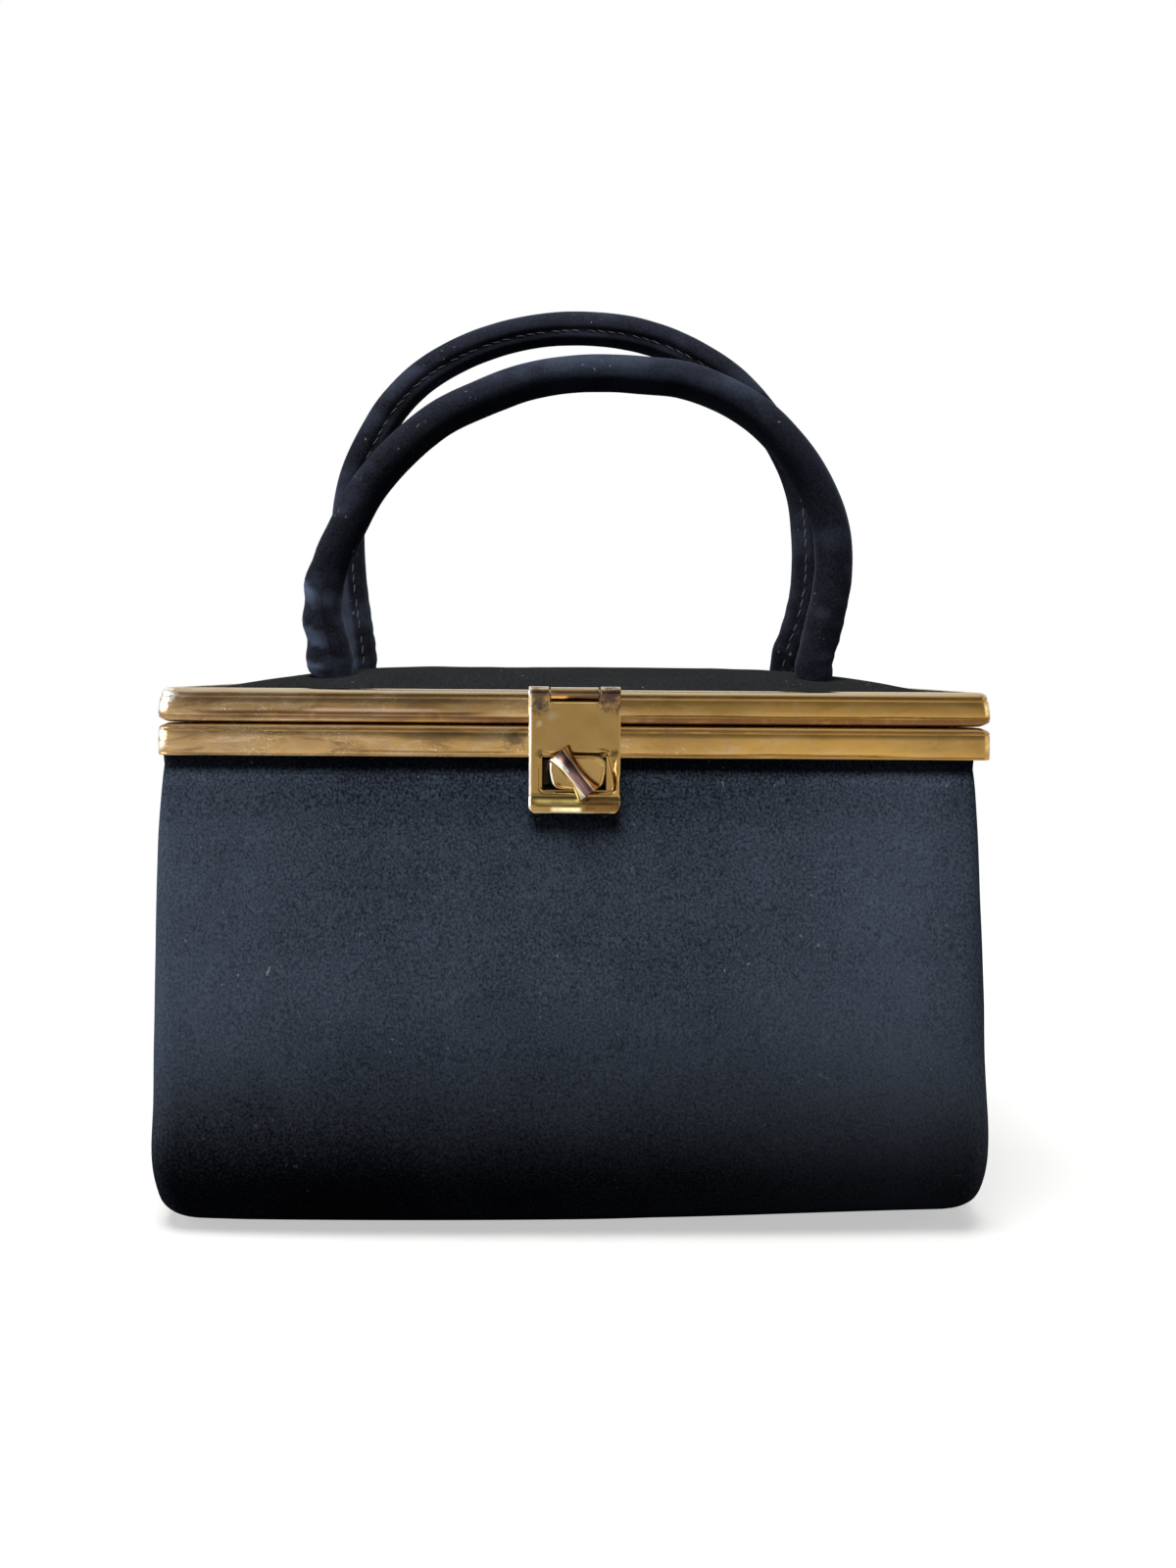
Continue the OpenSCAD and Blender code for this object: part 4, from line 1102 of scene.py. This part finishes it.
def buildStitches(kind, stations):
    p, h = handles, handles[kind]
    bm = bmesh.new()
    total = stations[-1][2]
    want = 4.0
    while want < total - 4:
        place, along, distance = min(stations, key=lambda station: abs(station[2] - want))
        radius = tubeRadius(kind, h["seam"], distance, total)
        spot = tubePoint(place, along, h["seam"], radius + 0.02)
        out = (spot - place).normalized()
        slant = (along + along.cross(out).normalized() * p["stitchSlant"]).normalized()
        turn = Matrix((slant, slant.cross(out).normalized(), out)).transposed().to_4x4()
        length, thick = p["stitchLength"] / 2, p["stitchThick"] / 2
        size = Matrix.Diagonal((length, thick, thick, 1 / mm)) * mm
        bmesh.ops.create_uvsphere(bm, u_segments=6, v_segments=5, radius=1,
                                  matrix=Matrix.Translation(spot * mm) @ turn @ size)
        want += p["stitchPitch"]
    return bm


def buildHandle(kind):
    stations = stationsAlong(kind)
    tube = linked(kind + "_handle_satin", buildTube(kind, stations), "handleSatin", None, 70)
    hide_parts(kind + "_handle_cover", kind + "_handle_core", "handle_feet")
    stitches = linked(kind + "_handle_stitches", buildStitches(kind, stations), "thread", None, 70)
    for piece in (tube, stitches):
        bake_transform(piece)


buildHandle("front")
buildHandle("rear")
print("handles made")


# Fittings: a merged copy of the CAD node with its edges softened

fittings = {
    "hasp_hinge_leaf": {"name": "hasp_leaf", "body": "lid", "material": "hasp", "soft": 0.12, "segments": 2},
    "turnlock_base": {
        "name": "lock_base", "body": "case", "material": "lock", "soft": 0.5, "segments": 4,
        "pushedTo": -45.9, "narrowed": 0.8},  # room for the boss
    "knob_head": {"name": "knob", "body": "knob", "material": "knob", "soft": 0.3, "segments": 4},
    "rear_hinge_lower": {
        "name": "hinge_lower", "body": "case", "material": "hinge", "soft": 0.12, "segments": 2},
    "rear_hinge_upper": {
        "name": "hinge_upper", "body": "lid", "material": "hinge", "soft": 0.12, "segments": 2},
    "base_panel": {
        "name": "base_cloth", "body": "case", "material": "baseSatin", "soft": 0.5, "segments": 3,
        "shrink": (0.88, 0.62, 1)},
}


def soften(node, p):
    bm = bmesh.new()
    bm.from_mesh(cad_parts[node].data)
    bmesh.ops.remove_doubles(bm, verts=bm.verts, dist=2e-6)
    bmesh.ops.dissolve_limit(bm, angle_limit=math.radians(0.6), verts=bm.verts, edges=bm.edges)
    sharp = [e for e in bm.edges if e.is_manifold and e.calc_face_angle(0) > math.radians(28)]
    bmesh.ops.bevel(bm, geom=sharp, offset=p["soft"] * mm, offset_type="OFFSET", segments=p["segments"],
                    profile=0.5, affect="EDGES", clamp_overlap=True, material=-1)
    for vert in bm.verts:
        if "pushedTo" in p and vert.co.y < p["pushedTo"] * mm:
            vert.co = (vert.co.x * p["narrowed"], p["pushedTo"] * mm, vert.co.z)
    if "shrink" in p:
        bmesh.ops.scale(bm, vec=p["shrink"], verts=bm.verts)
    made = linked(p["name"], bm, p["material"], p["body"], 40)
    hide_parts(node)


for node, looks in fittings.items():
    soften(node, looks)


# The boss of the lock, narrower below, with a raised rim that has a painted highlight at the left
lockBoss = {
    "halfW": 7.35, "halfH": 4.5, "z": 126.58, "x": 0.85, "front": -48.0, "taper": 1.2, "points": 72,
    "squareW": 0.38, "squareH": 0.36, "rimWidth": 0.62,
    # how far in, how far back
    "section": (
        (0, 2.4), (0, 0.5), (0.1, 0.18), (0.28, 0.02), (0.5, 0), (0.68, 0.06), (0.85, 0.22), (1.5, 0.24)),
}


def buildBoss():
    p = lockBoss
    rings = []
    for inset, back in p["section"]:
        ring = []
        for i in range(p["points"]):
            a = 2 * math.pi * i / p["points"]
            x = (p["halfW"] - inset) * math.copysign(abs(math.cos(a)) ** p["squareW"], math.cos(a))
            z = (p["halfH"] - inset) * math.copysign(abs(math.sin(a)) ** p["squareH"], math.sin(a))
            x *= 1 - p["taper"] / p["halfW"] * smooth(1, -6, z)
            ring.append((p["x"] + x, p["front"] + back, p["z"] + z))
        rings.append(ring)
    made = linked("lock_boss", skin(rings, capFirst=True, capLast=True), "lock", "case", 40)
    made.data.materials.append(materials["lockRimHighlight"])
    # the small faces of the rim at the left take the painted highlight
    for face in made.data.polygons:
        x, y, z = face.center / mm - Vector((p["x"], p["front"], p["z"]))
        side = p["halfW"] - p["taper"] * smooth(1, -6, z)
        if y < 1 and x < p["rimWidth"] - side and face.area < 4 * mm * mm:
            face.material_index = 1
    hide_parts("turnlock_base")


buildBoss()


# Hasp: a pressed plate with a sunk border round its slot, a rolled lower edge and two knuckles

hasp = {
    "halfW": 12, "low": 115.59, "axisY": -46.95, "axisZ": 147.109, "front": -47.8, "corner": 3, "thick": 0.9,
    "notchHalfW": 6.45, "notchLow": 145.0, "curlLow": 143.4,
    "knuckleGap": 0.25, "barrel": 1.85, "barrelSoft": 0.3,
    "slotHalfW": 8.4, "slotHalfH": 4.8, "slotZ": 126.75,
    "sunkLeft": -9.6, "sunkRight": 11.1, "sunkLow": 120.9, "sunkHigh": 132.0,
    "sunk": 0.7, "sunkEdge": 0.8, "sunkCorner": 2.2,
    # a rib that curves from above the slot down its right side
    "rib": 0.55, "ribWidth": 0.7, "ribTop": 131.25, "ribDrop": 9.3, "ribX": 9.3, "ribOut": 2.2, "ribIn": 2.4,
    "ribBend": (130.8, 133), "ribStart": (120.6, 121.6), "ribEnd": (131.8, 132.8),
    "stripTop": 120.5, "stripFrom": 121.2,
    "rollMid": 118.1, "rollOut": 0.5, "rollStep": 0.18, "rollBack": 1.9,
    "roundLeft": 1.0, "roundRight": 0.45, "dent": 0.05, "dentPitch": 5,
    "across": 96, "along": 126, "snap": 0.126,
}


# How far the front of the plate stands forward of its flat, at x and z
def haspForward(x, z):
    p = hasp
    r = p["sunkCorner"]
    offX = abs(x - (p["sunkLeft"] + p["sunkRight"]) / 2) - (p["sunkRight"] - p["sunkLeft"]) / 2 + r
    offZ = abs(z - (p["sunkLow"] + p["sunkHigh"]) / 2) - (p["sunkHigh"] - p["sunkLow"]) / 2 + r
    inside = r - math.hypot(max(offX, 0), max(offZ, 0)) - min(max(offX, offZ), 0)
    out = -p["sunk"] * smooth(0, p["sunkEdge"], inside)
    down = held((p["ribTop"] - z) / p["ribDrop"])
    rib = p["ribX"] + p["ribOut"] * down ** 0.9 - p["ribIn"] * smooth(*p["ribBend"], z)
    ends = smooth(*p["ribStart"], z) * (1 - smooth(*p["ribEnd"], z))
    out += p["rib"] * swell(x - rib, p["ribWidth"]) * ends
    if z < p["stripTop"]:
        out += (p["rollOut"] + p["rollStep"]) * smooth(p["stripTop"], p["rollMid"], z)
        out -= p["rollStep"] * smooth(p["stripFrom"], p["stripTop"], z)
        low = max(0, (p["rollMid"] - z) / (p["rollMid"] - p["low"]))
        out -= p["rollBack"] * (1 - math.sqrt(max(0, 1 - (low * 0.94) ** 2)))
    for edge, reach in ((-1, p["roundLeft"]), (1, p["roundRight"])):
        over = max(0, edge * x - (p["halfW"] - reach)) / reach
        out -= reach * 0.9 * (1 - math.sqrt(max(0, 1 - (over * 0.96) ** 2)))
    if abs(x) > p["notchHalfW"] and z > p["curlLow"]:  # flows into the knuckles
        out += (p["front"] - p["axisY"] + p["barrel"]) * smooth(p["curlLow"], p["axisZ"], z)
    return out + p["dent"] * noise.noise(Vector((x / p["dentPitch"], z / p["dentPitch"], 3.3)))


# The edges of the notch and the slot lie on lines of the grid, and the lower corners are round
def haspOutline(bm):
    p = hasp
    high, tall = p["axisZ"], p["axisZ"] - p["low"]
    edgesX = (-p["notchHalfW"], p["notchHalfW"], -p["slotHalfW"], p["slotHalfW"])
    edgesZ = (p["notchLow"], p["slotZ"] - p["slotHalfH"], p["slotZ"] + p["slotHalfH"])
    for vert in bm.verts:
        x = vert.co.x * p["halfW"]
        z = p["low"] + tall * (vert.co.y + 1) / 2
        x = next((e for e in edgesX if abs(x - e) < p["snap"]), x)
        z = next((e for e in edgesZ if abs(z - e) < p["snap"]), z)
        x, down = pulledRound(x, z - high, p["halfW"], tall, p["corner"])
        vert.co = Vector((x, 0, high + down)) * mm


def inCutOut(face):
    p = hasp
    at = face.calc_center_median() / mm
    inSlot = abs(at.x) < p["slotHalfW"] and abs(at.z - p["slotZ"]) < p["slotHalfH"]
    return inSlot or (abs(at.x) < p["notchHalfW"] and at.z > p["notchLow"])


def addKnuckle(bm, side):
    p = hasp
    length = p["halfW"] - p["notchHalfW"] - p["knuckleGap"]
    middle = Vector((side * (p["halfW"] - length / 2), p["axisY"], p["axisZ"])) * mm
    turn = Matrix.Translation(middle) @ Matrix.Rotation(math.radians(90), 4, "Y")
    radius = p["barrel"] * mm
    made = set(bmesh.ops.create_cone(bm, cap_ends=True, segments=44, radius1=radius, radius2=radius,
                                     depth=length * mm, matrix=turn)["verts"])
    # the edges round both ends
    barrel = [e for e in bm.edges if made.issuperset(e.verts)]
    ends = [e for e in barrel if abs(e.verts[0].co.x - e.verts[1].co.x) < 1e-7]
    bmesh.ops.bevel(bm, geom=ends, offset=p["barrelSoft"] * mm, offset_type="OFFSET", segments=3,
                    profile=0.5, affect="EDGES", material=-1)


def buildHasp():
    p = hasp
    bm = bmesh.new()
    bmesh.ops.create_grid(bm, x_segments=p["across"], y_segments=p["along"], size=1)
    haspOutline(bm)
    bmesh.ops.delete(bm, geom=[face for face in bm.faces if inCutOut(face)], context="FACES")
    for vert in bm.verts:
        vert.co.y = (p["front"] - haspForward(vert.co.x / mm, vert.co.z / mm)) * mm
    whole = bm.verts[:] + bm.edges[:] + bm.faces[:]
    back = bmesh.ops.extrude_face_region(bm, geom=whole, use_keep_orig=True)["geom"]
    back = [g for g in back if isinstance(g, bmesh.types.BMVert)]
    bmesh.ops.translate(bm, vec=(0, p["thick"] * mm, 0), verts=back)
    for side in (-1, 1):
        addKnuckle(bm, side)
    made = linked("hasp", bm, "hasp", "hasp", 40)
    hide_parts("hasp_plate")


buildHasp()
print("fittings made")


# What stays as it comes from the CAD

carried = {
    "rear_hinge_pin": "pin", "hasp_hinge_pin": "pin", "knob_shaft": "pin", "knob_washer": "steel",
    "turnlock_backplate": "steel", "anchor_plates": "steel", "anchor_rivets": "pin", "lid_board": "board",
}
for node, material in carried.items():
    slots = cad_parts[node].data.materials
    slots.clear()
    slots.append(materials[material])


# Floor, backdrop and light

studio = {
    "floorHalf": 4.0, "glowNear": 0.5, "glowFar": 1.0, "nearReach": 0.16, "farReach": 0.75,
    "floorSeen": (0.5, 0.5, 0.5, 1), "floorForLight": (0.03, 0.03, 0.03, 1),
    "sky": 0.11, "below": 0.008, "leftWindow": 4, "rightWindow": 1.2,
    # how bright the room looks to metal, from straight down (0) over level (0.5) to straight up (1)
    "room": (
        (0.0, 0.5), (0.44, 0.5), (0.485, 0.62), (0.53, 0.72), (0.6, 0.34), (0.68, 0.2), (0.78, 0.4),
        (0.92, 0.8), (1.0, 1.1)),
}


# Which rays see a thing: the camera's, a mirror's, and those that pass through
def lightRays(s):
    outs = s.node("LightPath").socket.node.outputs
    return [Sock(s.tree, outs["Is " + kind + " Ray"]) for kind in ("Camera", "Glossy", "Transmission")]


def buildFloor():
    p = studio
    bm = bmesh.new()
    bmesh.ops.create_grid(bm, x_segments=8, y_segments=8, size=p["floorHalf"])
    mesh = bpy.data.meshes.new("floor")
    bm.to_mesh(mesh)
    bm.free()
    floor = bpy.data.objects.new("floor", mesh)
    bpy.context.scene.collection.objects.link(floor)
    material, s, place = newMaterial("floor")
    material.cycles.emission_sampling = "NONE"
    away = s.node("VectorMath", {"operation": "LENGTH"}, {0: place}, 1)
    glow = away.step(p["nearReach"], p["farReach"]) * (p["glowFar"] - p["glowNear"]) + p["glowNear"]
    lit = s.node("BsdfDiffuse", None, {"Color": p["floorSeen"]})
    white = s.node("Emission", None, {"Color": (1, 1, 1, 1), "Strength": 1.0})
    seen = s.node("MixShader", None, {0: glow, 1: lit, 2: white})
    dim = s.node("BsdfDiffuse", None, {"Color": p["floorForLight"]})
    camera, glossy, through = lightRays(s)
    surface = s.node("MixShader", None, {0: (camera + glossy + through).clamped(), 1: dim, 2: seen})
    s.node("OutputMaterial", None, {"Surface": surface})
    mesh.materials.append(material)


def buildWorld():
    p = studio
    world = bpy.data.worlds.new("studio")
    bpy.context.scene.world = world
    world.use_nodes = True
    world.node_tree.nodes.clear()
    s = Sock(world.node_tree)
    side, behind, up = s.node("TexCoord").parts()
    back = behind.step(0.0, 0.35)
    light = up.step(-0.05, 0.25) * (p["sky"] - p["below"]) + p["below"]
    # the backdrop is white to metal too, and the rest of the room is in bands
    stops = [(place, (tone, tone, tone, 1)) for place, tone in p["room"]]
    bands = s.node("ValToRGB", {"stops": stops}, {0: up * 0.5 + 0.5})
    # tall windows to the left and, smaller, to the right
    level = up.step(-0.2, -0.05) * (1 - up.step(0.45, 0.6)) * (1 - behind.step(-0.1, 0.2))
    left, right = (side * -1).step(0.4, 0.5), side.step(0.8, 0.9)
    windows = (left * p["leftWindow"] + right * p["rightWindow"]) * level
    room = bands * (1 - back) + back + windows
    camera, glossy, through = lightRays(s)
    seen = (camera + through).clamped()
    strength = light * (1 - seen - glossy) + seen + room * glossy
    background = s.node("Background", None, {"Color": (1, 1, 1, 1), "Strength": strength})
    s.node("OutputWorld", None, {"Surface": background})


lamps = (
    # name, place, aim, width, height, power, colour; metal sees the room of buildWorld instead
    ("key", (-0.16, -0.49, 1.3), (0, -0.03, 0.1), 0.7, 0.36, 43, (1.0, 0.985, 0.96)),
    ("leftWindow", (-1.15, -0.02, 0.4), (0, 0, 0.12), 0.8, 0.9, 12, (0.96, 0.98, 1.0)),
    ("rightFill", (1.2, -0.15, 0.5), (0, 0, 0.12), 0.5, 0.6, 4, (1.0, 0.98, 0.95)),
    ("back", (0.35, 0.95, 1.0), (0, 0, 0.12), 0.8, 0.6, 14, (1.0, 1.0, 1.0)),
)


def buildLamps():
    for name, place, aim, width, height, power, colour in lamps:
        data = bpy.data.lights.new(name, "AREA")
        data.shape = "RECTANGLE"
        data.size, data.size_y = width, height
        data.energy = power
        data.color = colour
        lamp = bpy.data.objects.new(name, data)
        lamp.location = place
        lamp.rotation_euler = (Vector(aim) - Vector(place)).to_track_quat("-Z", "Y").to_euler()
        lamp.visible_glossy = False
        bpy.context.scene.collection.objects.link(lamp)


buildFloor()
buildWorld()
buildLamps()
bpy.context.scene.view_settings.view_transform = "Standard"
print("studio made")
